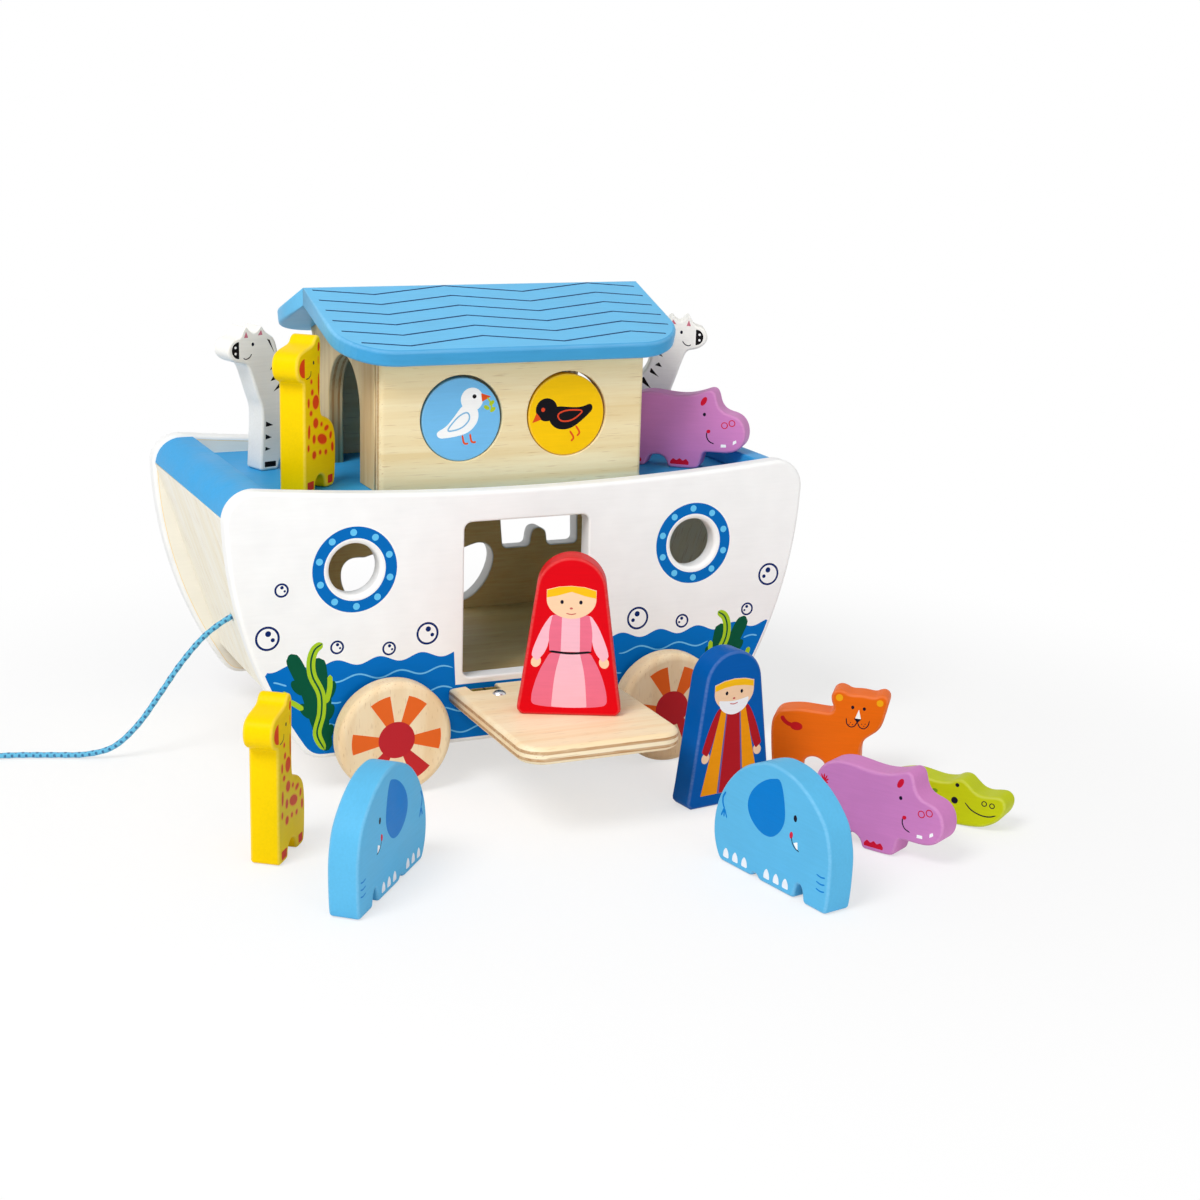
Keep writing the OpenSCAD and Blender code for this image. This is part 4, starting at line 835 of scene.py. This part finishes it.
# Ramp: a plywood door with rounded edges that folds down on two eyes. Lugs on the panel and eyes in the
# ramp turn on short steel pins, and a dome-headed screw holds each eye in its slot.
RAMP_Z, RAMP_T, RAMP_CORNER = 47.5, 8.5, 12.0
RAMP_BOW, RAMP_STERN, RAMP_FRONT, RAMP_BACK = -42.0, 39.0, -180.0, -80.5
NOTCHES, NOTCH_END = ((30, 15), (-18, -33)), -89.8
ramp_ply = bare_wood("ramp_ply", srgb(252, 234, 198), srgb(246, 218, 172), (24.0, 420.0, 420.0),
                     ply=0.0017, vein=0.35)
notch_y, corner_y = [RAMP_BACK, NOTCH_END, NOTCH_END, RAMP_BACK], RAMP_FRONT + RAMP_CORNER
notches = [np.stack([np.repeat(x, 2), notch_y], 1) for x in NOTCHES]
ramp_loop = np.concatenate([
    arc_of(RAMP_BOW + RAMP_CORNER, corner_y, RAMP_CORNER, 180, 270, 13),
    arc_of(RAMP_STERN - RAMP_CORNER, corner_y, RAMP_CORNER, 270, 360, 13),
    [[RAMP_STERN, RAMP_BACK]], *notches, [[RAMP_BOW, RAMP_BACK]]])
ramp_soft = np.full(len(ramp_loop), 2.6)
ramp_soft[-9:-1] = [1.2, 0.3, 0.3, 1.2] * 2
ramp = board("ramp_door_lacquered", [ramp_loop], RAMP_T, [ramp_soft], (ARK + [0, 0, RAMP_Z], *flat), BARE)
fix(ramp, ramp_ply, "ramp", "plywood", "ramp_door")


def metal(name, colour, rough):
    """Plated metal: full metal, its shine broken by fine scratches drawn out one way and a faint cloud of
    tarnish."""
    mat, shader = new_finish(name)
    spot = object_place(mat)
    drawn = wire(mat, "Mapping", {"Vector": spot, "Scale": (3000.0, 300.0, 3000.0)})[0]
    scratch, cloud = noise(mat, drawn, 1.0, 3.0), noise(mat, spot, 400.0, 2.0)
    dull = tuple(0.72 * c for c in colour[:3]) + (1.0,)
    feed(mat, tint(mat, span(mat, cloud, 0.0, 0.6, 0.4, 0.75), colour, dull), shader, "Base Color")
    feed(mat, span(mat, scratch, rough - 0.08, rough + 0.14, 0.3, 0.7), shader, "Roughness")
    shader.inputs["Metallic"].default_value = 1.0
    return mat


brass = metal("brass_plate", srgb(214, 178, 96), 0.3)
steel = metal("steel_plate", srgb(216, 216, 220), 0.22)
for part, finish in (("hinge_lug", brass), ("ramp_eye", brass), ("hinge_pin", steel), ("ramp_screw", steel)):
    for end in ("bow", "stern"):
        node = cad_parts[f"{part}_{end}"]
        node.data.materials.clear()
        node.data.materials.append(finish)

# Wheels: four discs turned from beech with a rounded rim, glued in pairs on dowel axles that turn in the
# panels. A sunburst is printed on the outer face.
WHEEL_T, WHEEL_EDGE_R, WHEEL_IN, AXLE_R, AXLE_L = 13.0, 3.5, 82.0, 4.0, 184.0
HUB_R, SPOKE_IN, SPOKE_OUT, SPOKE_HALF = 9.2, 7.5, 22.6, 13.5
HUB, SPOKE, LOW_SPOKE = srgb(186, 24, 36), srgb(228, 98, 22), srgb(190, 30, 34)
beech = bare_wood("beech", srgb(244, 224, 188), srgb(234, 204, 160), (420.0, 420.0, 60.0), vein=0.4)
beech_dowel = bare_wood("beech_dowel", srgb(236, 214, 172), srgb(214, 180, 130), (420.0, 26.0, 420.0))
spoke_tip = arc_of(0, 0, SPOKE_OUT, -SPOKE_HALF, SPOKE_HALF, 9)
spoke = np.concatenate([[[SPOKE_IN, 2.0], [SPOKE_IN, -2.0]], spoke_tip])
sun = [(turned_by(spoke, t), SPOKE) for t in (-4, 61, 112, 180)]
sun += [(turned_by(spoke, t), LOW_SPOKE) for t in (235, 305)] + [(ring_of(0, 0, HUB_R, 48), HUB)]
for end, x in (("bow", -AXLE_X), ("stern", AXLE_X)):
    for face, y in (("front", -WHEEL_IN - WHEEL_T), ("back", WHEEL_IN)):
        wheel = board(f"wheel_{end}_{face}_printed", [ring_of(0, 0, WHEEL_R, 96)], WHEEL_T, [WHEEL_EDGE_R],
                      (ARK + [x, y, WHEEL_R], *upright), BARE, **{face: sun}, steps=8)
        fix(wheel, beech, f"{end}_wheelset", "wheel_wood", f"wheel_{end}_{face}")
    axle = board(f"axle_{end}_turned", [ring_of(0, 0, AXLE_R, 40)], AXLE_L, [0.5],
                 (ARK + [x, -AXLE_L / 2, WHEEL_R], *upright), BARE)
    fix(axle, beech_dowel, f"{end}_wheelset", "plywood", f"axle_{end}")

# Elephants: sawn from 14 mm beech, edges rounded over, sprayed sky blue; ear, eye, toes, tail and trunk
# folds are printed on both faces.
FIGURE_T, FIGURE_EDGE_R = 14.0, 1.45
INK, BLUSH = srgb(24, 22, 40), srgb(206, 34, 62)
ELEPHANT, EAR, TOE = srgb(94, 182, 226), srgb(0, 122, 202), srgb(238, 240, 244)
figure_paint = painted("figure_paint", 0.38)


def stand(name, loop, at, ground, prints, slot, soft=FIGURE_EDGE_R):
    """Figure on its feet: its outline carried through the thickness, nose along its heading, the same print
    on both faces."""
    x, y, z, heading = at
    h = math.radians(heading)
    U, D = np.array([math.cos(h), math.sin(h), 0]), np.array([-math.sin(h), math.cos(h), 0])
    place = (np.array([x, y, z]) - FIGURE_T / 2 * D, U, D, (0, 0, 1))
    piece = board(f"{name}_printed", [loop], FIGURE_T, [soft], place, ground, front=prints, back=prints)
    fix(piece, figure_paint, f"{name}_figure", slot, name)


elephant_loop = eased([
    [-34, 0], [-12, 0], [-10.5, 2], [-8, 2], [-6.5, 0], [17, 0], [17.5, 3], [18.5, 6.5], [20.5, 8],
    [22.5, 6], [23.5, 0], [38, 0], [39, 7], [39.5, 16], [39.5, 25], [38, 31.5], [36, 37.5], [31.5, 43],
    [25, 48.5], [18, 52.5], [11, 55], [4, 56], [-4, 56], [-12.5, 53], [-20.5, 49], [-27, 43.5],
    [-32.5, 37], [-37, 29], [-39.5, 20], [-39.5, 11], [-37, 4]])
ear = eased([
    [4.5, 51], [7, 47], [9, 39], [9.5, 33], [7, 27.5], [2, 23], [-3.5, 22], [-9, 23.5], [-14, 27],
    [-16.5, 32], [-15, 38], [-10.5, 43.5], [-3.5, 48.5]])
toe = eased([[-2.1, 2.6], [2.1, 2.6], [1.7, 5.6], [0, 7.6], [-1.7, 5.6]], 1.0)
elephant = [
    (ear, EAR), (ring_of(16, 36.5, 1.1, 18, 1.55), INK), (ring_of(13.9, 28.2, 1.1, 16, 1.7, -15), BLUSH),
    (eased([[15.6, 25.2], [18.2, 26.4], [18.6, 22.9], [17.4, 23.2]], 0.6), WHITE),
    (stroke([[14.1, 27.4], [15, 24.9], [16.9, 23.2], [19.6, 22.4]], 0.6), INK)]
elephant += [(toe + [x, 0], TOE) for x in (-29.5, -23, -16.5, -1, 5.5, 11.7)]
elephant += [(stroke([[-31.5, 33.5], [-33.3, 30.5], [-33.2, 27.5], [-32, 25.2]], 1.1), EAR)]
elephant += [(stroke([[-32.1, 25.6], [x, 21.2]], 0.95), EAR) for x in (-34.3, -32.2, -30)]
elephant += [(stroke([[31.4, z], [34.4, z - 0.5], [37.0, z]], 0.7), EAR) for z in (16.6, 13.4, 10.2)]
for side, at in (("left", (-127.6, -96.1, 0, 229.4)), ("right", (38.4, -154.1, 0, -79.5))):
    stand(f"elephant_{side}", elephant_loop, at, ELEPHANT, elephant, "elephant_blue")

# Giraffes: sawn like the elephants, sprayed yellow, printed with red-orange blotches, muzzle, mane and
# hooves. One stands on the table, one on the deck at the bow.
GIRAFFE, BLOTCH, PEACH, HOOF = srgb(250, 210, 0), srgb(230, 70, 22), srgb(250, 158, 30), srgb(220, 54, 30)


def muzzle(x, z, wide, tall):
    """Muzzle patch: half an ellipse with its flat side towards the cheek."""
    return arc_of(0, 0, 1, -90, 90, 19) * [wide, tall] + [x, z]


giraffe = [
    (muzzle(12.6, 61.6, 5.5, 4.6), BLOTCH), (ring_of(3.6, 63.3, 0.75, 14, 0.95), INK),
    (stroke([[6.2, 59.8], [6.8, 57.6], [8.8, 56.5], [11.4, 56.3]], 0.55), INK),
    (ring_of(-1.6, 70.4, 1.1, 18, 2.3, 8), BLOTCH), (ring_of(-1.3, 52.2, 0.8, 20, 5.6), BLOTCH),
    (ring_of(-1.2, 64, 0.7, 16, 2.2), PEACH)]
blotches = (
    (1.6, 44, 3.1, 3.3, 0), (5.2, 49.2, 1.2, 1.3, 20), (8.9, 44.4, 0.9, 2.1, 0), (6.6, 39.2, 1.3, 1.1, 10),
    (1.8, 33.8, 2.5, 2.3, 25), (8.7, 30.4, 1.0, 3.2, 4), (3.6, 26.2, 1.5, 2.0, 0), (-4.8, 25, 4.9, 2.3, 15),
    (-9.4, 29.8, 2.2, 1.1, -8), (-4.2, 32.4, 1.1, 0.9, 0), (-13.8, 25.6, 1.1, 1.7, 20),
    (-15.6, 19.6, 1.2, 2.2, -6), (3.6, 18.4, 1.9, 1.8, 0), (-2.6, 18.8, 1.2, 1.0, 15),
    (-8.6, 18, 1.3, 1.1, 0), (6.0, 54.4, 0.9, 0.9, 0), (9.4, 22.6, 0.9, 1.5, 0))
giraffe += [(ring_of(x, z, a + rim, 22, b + rim, t), ink) for rim, ink in ((0.55, PEACH), (0.0, BLOTCH))
            for x, z, a, b, t in blotches]
giraffe += [(soft_box(x0, x1, 1.9, 6.0, 0.6, 4), HOOF) for x0, x1 in ((-15.8, -10.6), (4.2, 10.8))]
for spot, at in (("table", (-159.8, -47.2, 0, 233.7)), ("deck", (-111.8, 65.0, DECK_Z, 226))):
    stand(f"giraffe_{spot}", giraffe_loop, at, GIRAFFE, giraffe, "giraffe_yellow")

# Zebras: sawn beech, sprayed off-white; black muzzle, mane bars, flank stripes and hooves and pink ears are
# printed. One stands on the deck at the bow, one at the stern. Their thin ears are rounded less.
ZEBRA, STRIPE, PINK = srgb(248, 246, 240), srgb(22, 20, 22), srgb(206, 118, 136)
zebra_loop = eased([
    [-24, 0], [-14, 0], [-13, 5], [-9, 7.5], [-5, 5], [-4, 0], [7, 0], [6, 13.5], [5, 31.5], [8, 39],
    [12, 51.5], [14, 55], [20, 56], [24, 59], [25, 63], [22.5, 67.5], [17.4, 68.6], [15.9, 71.4], [14, 74.5],
    [11.9, 71.4], [9.8, 70.4], [7.4, 71.6], [5.3, 74.5], [3.3, 71], [0.8, 69.4], [-2.4, 67.4], [-4.2, 62],
    [-5.4, 52], [-8, 44], [-13, 40], [-20, 38.5], [-24, 34], [-25, 26], [-24.5, 10]])
zebra_soft = np.interp(zebra_loop[:, 1], [67.5, 71], [FIGURE_EDGE_R, 0.7])
zebra = [(muzzle(18.2, 62.3, 4.1, 4.25), STRIPE)]
zebra += [(ring_of(20.2, z, 0.65, 14), WHITE) for z in (63.8, 60.8)]
zebra += [(ring_of(10.3, 64.9, 0.75, 14, 0.95), INK),
          (stroke([[11.0, 60.2], [12.4, 58.4], [14.4, 57.7], [15.8, 58.3]], 0.55), INK)]
zebra += [(eased(inner_ear, 0.3), PINK) for inner_ear in (
    [[4.7, 69.3], [7.4, 69.2], [5.4, 71.9]], [[12.9, 68.4], [15.3, 68.3], [14.1, 71.6]])]
zebra += [(eased(np.reshape(wedge, (3, 2)), 0.3), STRIPE) for wedge in (
    (2.2, 67.2, 0.6, 66.6, -2.2, 59.6), (-1.2, 54.4, -2.6, 52.6, 0.6, 51.2),
    (-1.4, 48.3, -3.6, 46.6, 0.4, 45.6), (-5.6, 45.2, -6.2, 42.7, -1.2, 40.2),
    (-9.4, 40.2, -11.6, 37.9, -5.2, 33.6),
    (-14.6, 36.9, -17.2, 36.4, -13.6, 29.4), (-20.4, 35.2, -22.0, 32.2, -17.2, 25.6),
    (-22.8, 23.4, -22.6, 20.2, -15.8, 20.4), (-22.5, 15.4, -22.3, 12.6, -16.6, 13.0),
    (3.3, 25.4, 3.5, 22.6, -1.0, 23.2), (3.7, 18.9, 3.7, 16.1, 0.0, 17.0), (3.8, 12.4, 4.0, 10.3, 0.7, 11.1))]
zebra += [(soft_box(x0, x1, 1.9, 4.7, 0.4, 4), STRIPE) for x0, x1 in ((-22.0, -15.8), (-2.2, 4.4))]
for end, at in (("bow", (-116.0, 122.5, DECK_Z, 196)), ("stern", (106.1, 118.8, DECK_Z, -23.4))):
    stand(f"zebra_{end}", zebra_loop, at, ZEBRA, zebra, "zebra_white", zebra_soft)

# Hippos: sawn beech, sprayed lilac, printed with red ear, nostrils, toes and tail tuft and two white teeth.
# One stands on the table, one on the deck at the stern.
HIPPO, RED = srgb(206, 130, 190), srgb(206, 22, 52)


def nostril(x, z, r, n, ink, ground):
    """Ring half a millimetre wide: a disc of ink and a smaller one of the ground on it."""
    return [(ring_of(x, z, r, n), ink), (ring_of(x, z, r - 0.5, n), ground)]


hippo_loop = eased([
    [-31, 0], [-18, 0], [-17, 2.5], [-15.5, 5.5], [-12, 6.5], [-8.5, 6], [-6, 3.5], [-5, 0], [8.5, 0],
    [11.5, 1], [12.5, 5.5], [13.5, 9.5], [20.5, 9.5], [26.5, 9.5], [31.5, 11], [35, 14.5], [36, 19.5],
    [35, 24.5], [32.5, 28], [29, 29.8], [25, 30.6], [22, 32.4], [20.2, 35.5], [19.4, 39], [18, 41.8],
    [15.5, 42.5], [12, 41], [7, 39.4], [2, 38.5], [-4.5, 38.5], [-13.5, 39.5], [-18, 39.5],
    [-23, 38.5], [-27, 36.5], [-30.5, 32.5], [-33.5, 24], [-34, 14], [-33, 5]])
toes = eased([
    [0, 2], [10, 2], [10.2, 3.4], [8.6, 5.2], [6.8, 4], [5.1, 5.4], [3.4, 4], [1.6, 5.2], [0, 3.4]], 0.6)
hippo = [(ring_of(12.9, 36.3, 1.35, 20, 2.6, -28), RED), (ring_of(13.5, 29.4, 0.85, 16, 0.95), INK)]
hippo += nostril(24.4, 24.3, 1.8, 24, RED, HIPPO) + nostril(28.3, 25.7, 1.8, 24, RED, HIPPO)
hippo += [(stroke([[15.2, 20.2], [15.2, 17.8], [16.6, 15.4], [19.3, 14.2]], 0.6), INK),
          (ring_of(16.0, 20.6, 1.1, 18, 0.95, 30), RED)]
hippo += [(eased(tooth, 0.3), WHITE) for tooth in (
    [[22.8, 12.6], [25.8, 12.8], [25.6, 14.3], [22.9, 14.2]],
    [[29.2, 14.3], [31.2, 15.6], [30.8, 17.0], [29.3, 16.2]])]
hippo += [(toes + [x, 0], RED) for x in (-3.9, -29.6)]
hippo += [(stroke([[-27.0, 27.4], tip], 0.95, 0.3), RED) for tip in (
    [-29.6, 29.6], [-28.4, 31.0], [-26.8, 31.4], [-25.2, 30.8], [-24.4, 29.2], [-24.6, 27.4])]
for spot, at in (("table", (102.0, -134.0, 0, -62)), ("deck", (94.5, 68.2, DECK_Z, -39))):
    stand(f"hippo_{spot}", hippo_loop, at, HIPPO, hippo, "hippo_purple")

# Lion and crocodile: sawn and sprayed like the others; one of each stands on the table at the stern. The
# lion is orange with a red tail and looks out of the board, the crocodile is lime green.
LION, YELLOW, TAIL = srgb(236, 108, 18), srgb(244, 172, 24), srgb(196, 26, 32)
CROC, SCALE = srgb(190, 200, 20), srgb(112, 150, 26)
lion = [(ring_of(4.3, 43.4, 1.8, 22), YELLOW), (ring_of(24.6, 42.4, 1.7, 22), YELLOW)]
lion += [(ring_of(x, z, 0.8, 14, 0.95), INK) for x, z in ((11.2, 39.0), (17.0, 38.7))]
lion += [(eased([[14.4, 38.2], [15.8, 32.6], [12.5, 32.7]], 0.6), WHITE),
         (eased([[12.0, 33.4], [16.0, 33.2], [13.9, 31.0]], 0.4), INK)]
lion += [(stroke([[13.9, 31.6], *cheek], 0.55), INK) for cheek in (
    [[12.6, 29.3], [10.6, 28.7], [8.8, 30.2], [8.3, 33.2]],
    [[15.3, 29.0], [17.4, 28.4], [19.2, 29.9], [20.0, 32.8]])]
lion += [(ring_of(x, z, 0.28, 8), INK) for x, z in (
    (10.6, 31.0), (11.6, 30.0), (9.9, 29.9), (16.2, 30.6), (17.3, 29.6), (17.9, 30.8))]
lion += [(stroke([[-24.1, 30.9], [-22.9, 28.8], [-20.8, 27.2], [-18.4, 26.5]], 2.1), TAIL),
         (ring_of(-16.5, 26.2, 3.2, 24, 2.2, -6), TAIL)]
stand("lion", lion_loop, (130.6, -40.1, 0, -38), LION, lion, "lion_orange")
crocodile_loop = eased([
    [-38, 0], [-14, 0], [-12, 2.5], [-4, 2.5], [-2, 0], [25, 0], [33.5, 3.5], [38, 8], [39.6, 12.5],
    [39, 16], [36.5, 18], [33, 17.8], [28.5, 16.8], [24.5, 17.6], [21.5, 20], [18.5, 22.6], [16, 23],
    [13.6, 22.4], [11, 20.6], [5, 19.8], [-1, 20.6], [-8, 21.5],
    [-15, 20], [-24, 16.5], [-32, 12], [-40, 6], [-40.5, 2]])
croc = [(ring_of(15.0, 20.0, 1.0, 18), INK),
        (stroke([[19.3, 12.2], [23.0, 9.0], [28.0, 7.4], [32.0, 7.6], [35.0, 8.8]], 0.65), INK),
        (ring_of(14.2, 12.2, 1.7, 22), INK)]
croc += nostril(28.9, 13.5, 1.4, 20, INK, CROC) + nostril(32.8, 13.2, 1.4, 20, INK, CROC)
croc += [(ring_of(x, z, 1.5, 16, 1.1), SCALE) for x, z in (
    (4, 15), (-3, 17), (-9, 14.5), (-15, 16), (-21, 12.5), (-27, 10.5), (-33, 6.5), (-2, 11), (-18, 9))]
stand("crocodile", crocodile_loop, (148.9, -106.0, 0, -55), CROC, croc, "crocodile_green")

# People: a woman in a red hood and pink dress on the ramp, a man in a blue hood and an orange and red
# robe on the table. Both are plain sawn pegs with a simple printed face.
SKIN, HAIR, ROSE, BLOSSOM = srgb(246, 206, 168), srgb(248, 188, 26), srgb(232, 112, 138), srgb(244, 184, 198)
LIP, BELT, HOOD_RED, HOOD_BLUE = srgb(196, 84, 84), srgb(24, 20, 26), srgb(220, 4, 20), srgb(0, 90, 172)
GOLD, WINE, LILAC, BEARD = srgb(240, 152, 14), srgb(178, 26, 36), srgb(104, 96, 160), srgb(244, 244, 246)
person_loop = np.concatenate([
    [[-23.0, 0.6], [-22.0, 0.0], [22.0, 0.0], [23.0, 0.6], [24.4, 2.2], [24.6, 3.6], [23.5, 10]],
    arc_of(0, 60.5, 16.5, 5, 175, 25), [[-23.5, 10], [-24.6, 3.6], [-24.4, 2.2]]])


def calm_face(z):
    """Plain face on a round of skin: two eyes level at z, a short nose mark 3 mm below them and a nearly
    level mouth under it."""
    eyes = [(ring_of(s * 4.4, z, 0.8, 16, 1.0), INK) for s in (-1, 1)]
    mouth = stroke([[-2.4, z - 5.4], [0, z - 5.9], [2.4, z - 5.4]], 0.5)
    return eyes + [(ring_of(0, z - 3.0, 0.75, 14, 0.5), LIP), (mouth, LIP)]


def pair(shape, ink):
    """A shape and its mirror image."""
    return [(shape, ink), (shape * [-1, 1], ink)]


face = np.concatenate([arc_of(0, 0, 1, 180, 360, 31) * [11.6, 9.4] + [0, 57.0],
                       [[11.6, 61.5], [6, 63.0], [0, 63.5], [-6, 63.0], [-11.6, 61.5]]])
fringe = np.array([[-11.4, 61.2], [-6, 62.8], [0, 63.3], [6, 62.8], [11.4, 61.2], [11.5, 57.6], [6.5, 58.6],
                   [0, 60.6], [-6.5, 58.6], [-11.5, 57.6]])
sleeve = eased([[5.5, 49.5], [9.5, 49.0], [13.5, 43], [17.5, 33], [18.2, 29.2], [15.4, 26.6], [11.0, 32.0],
                [9.6, 40.0]], 1.2)
hand = ring_of(16.0, 26.4, 2.3, 20, 2.8, 20)
skirt = eased([[-9.6, 30.8], [9.6, 30.8], [14.5, 22], [17.6, 12], [18.0, 6.4], [16.0, 4.6], [0, 3.6],
               [-16.0, 4.6], [-18.0, 6.4], [-17.6, 12], [-14.5, 22]], 1.4)
apron = eased([[-4.6, 30.6], [4.6, 30.6], [7.2, 20], [8.4, 4.3], [0, 3.9], [-8.4, 4.3], [-7.2, 20]], 0.8)
bodice = eased([[-8.6, 49.4], [8.6, 49.4], [10.4, 41], [9.8, 31.4], [-9.8, 31.4], [-10.4, 41]], 1.2)
bib = eased([[-4.2, 49.6], [4.2, 49.6], [4.5, 31.4], [-4.5, 31.4]], 0.5)
belt = stroke([[-10.2, 31.6], [0, 30.7], [10.2, 31.6]], 1.1)
woman = pair(hand, SKIN) + pair(sleeve, BLOSSOM) + [(bodice, ROSE), (bib, BLOSSOM), (skirt, ROSE)]
woman += [(apron, BLOSSOM), (belt, BELT), (face, SKIN), (fringe, HAIR)] + calm_face(55.6)
stand("woman", person_loop, (-12.1, -34.3, RAMP_Z, -24.3), HOOD_RED, woman, "woman_red")
robe = np.array([[-7.0, 49.6], [7.0, 49.6], [17.5, 6.2], [-17.5, 6.2]])
vest = np.array([[-3.4, 49.4], [3.4, 49.4], [6.6, 6.4], [-6.6, 6.4]])
trim = np.array([[-4.0, 49.5], [4.0, 49.5], [7.8, 6.3], [-7.8, 6.3]])
arm = eased([[6.8, 50], [9.5, 49], [14, 40], [17.8, 28.5], [14.6, 26], [12.2, 30], [9, 41]], 1.0)
band = np.array([[-11.3, 61.0], [-6, 62.6], [0, 63.1], [6, 62.6], [11.3, 61.0], [11.4, 58.2], [6, 59.4],
                 [0, 59.9], [-6, 59.4], [-11.4, 58.2]])
beard = eased([[-8.8, 53.4], [-4.6, 52.6], [0, 52.2], [4.6, 52.6], [8.8, 53.4], [8.4, 49.6], [4.6, 46.4],
               [0, 45.2], [-4.6, 46.4], [-8.4, 49.6]], 1.0)
man = pair(hand + [-0.6, -1.0], SKIN) + [(robe, GOLD), (trim, LILAC), (vest, WINE)] + pair(arm, WINE)
man += [(face, SKIN), (beard, BEARD), (band, HAIR)] + calm_face(56.6)
stand("man", person_loop, (62.5, -52.6, 0, 8.1), HOOD_BLUE, man, "man_blue")

# Table and light: a plain pale table that fades to white away from the toy, a large soft lamp high at the
# bow side, a weaker one low in front and an even white surround.
TABLE_HALF, TABLE_DROP = 6000.0, 0.2
FADE_FROM, FADE_TO, NEAR_WHITE = 0.22, 0.5, 0.62
LAMP_AIM = Vector((0, 0, 0.08))


def in_view(mat):
    """1 for what the camera sees, also in a shine or through a piece, and 0 for light on other surfaces."""
    ray = wire(mat, "LightPath")
    seen = reckon(mat, "MAXIMUM", ray["Is Camera Ray"], ray["Is Glossy Ray"])
    return reckon(mat, "MAXIMUM", seen, ray["Is Transmission Ray"])


corners = np.column_stack([oblong(TABLE_HALF, TABLE_HALF), np.full(4, -TABLE_DROP)])
table = new_piece("table_top", corners, [(0, 1, 2, 3)])
table_white, shader = new_finish("table_white")
shader.inputs["Base Color"].default_value = srgb(250, 250, 250)
shader.inputs["Roughness"].default_value = 0.9
shader.inputs["Specular IOR Level"].default_value = 0.0
place = object_place(table_white)
far = wire(table_white, "VectorMath", {0: place}, operation="LENGTH")["Value"]
from_to = {0: far, 1: FADE_FROM, 2: FADE_TO, 3: NEAR_WHITE, 4: 1.0}
fade = wire(table_white, "MapRange", from_to, interpolation_type="SMOOTHSTEP")[0]
share = reckon(table_white, "MULTIPLY", fade, in_view(table_white))
white = wire(table_white, "Emission", {"Strength": 1.0})[0]
both = wire(table_white, "MixShader", {0: share, 1: shader.outputs[0], 2: white})[0]
feed(table_white, both, table_white.node_tree.nodes["Material Output"], "Surface")
table.data.materials.append(table_white)
world = bpy.data.worlds.new("white_room")
bpy.context.scene.world = world
world.use_nodes = True
room = world.node_tree.nodes["Background"]
room.inputs["Color"].default_value = (1.0, 1.0, 1.0, 1.0)
feed(world, span(world, in_view(world), 0.5, 1.0), room, "Strength")
for name, at, size, power in (("bow_lamp", (-1.1, -0.65, 1.55), 0.9, 22.0),
                              ("front_lamp", (0.2, -1.7, 0.4), 1.0, 5.5)):
    lamp = bpy.data.objects.new(name, bpy.data.lights.new(name, "AREA"))
    lamp.data.shape, lamp.data.size, lamp.data.energy = "DISK", size, power
    lamp.location = at
    lamp.rotation_mode = "QUATERNION"
    lamp.rotation_quaternion = (LAMP_AIM - Vector(at)).to_track_quat("-Z", "Y")
    bpy.context.scene.collection.objects.link(lamp)
bpy.context.scene.view_settings.view_transform = "Standard"
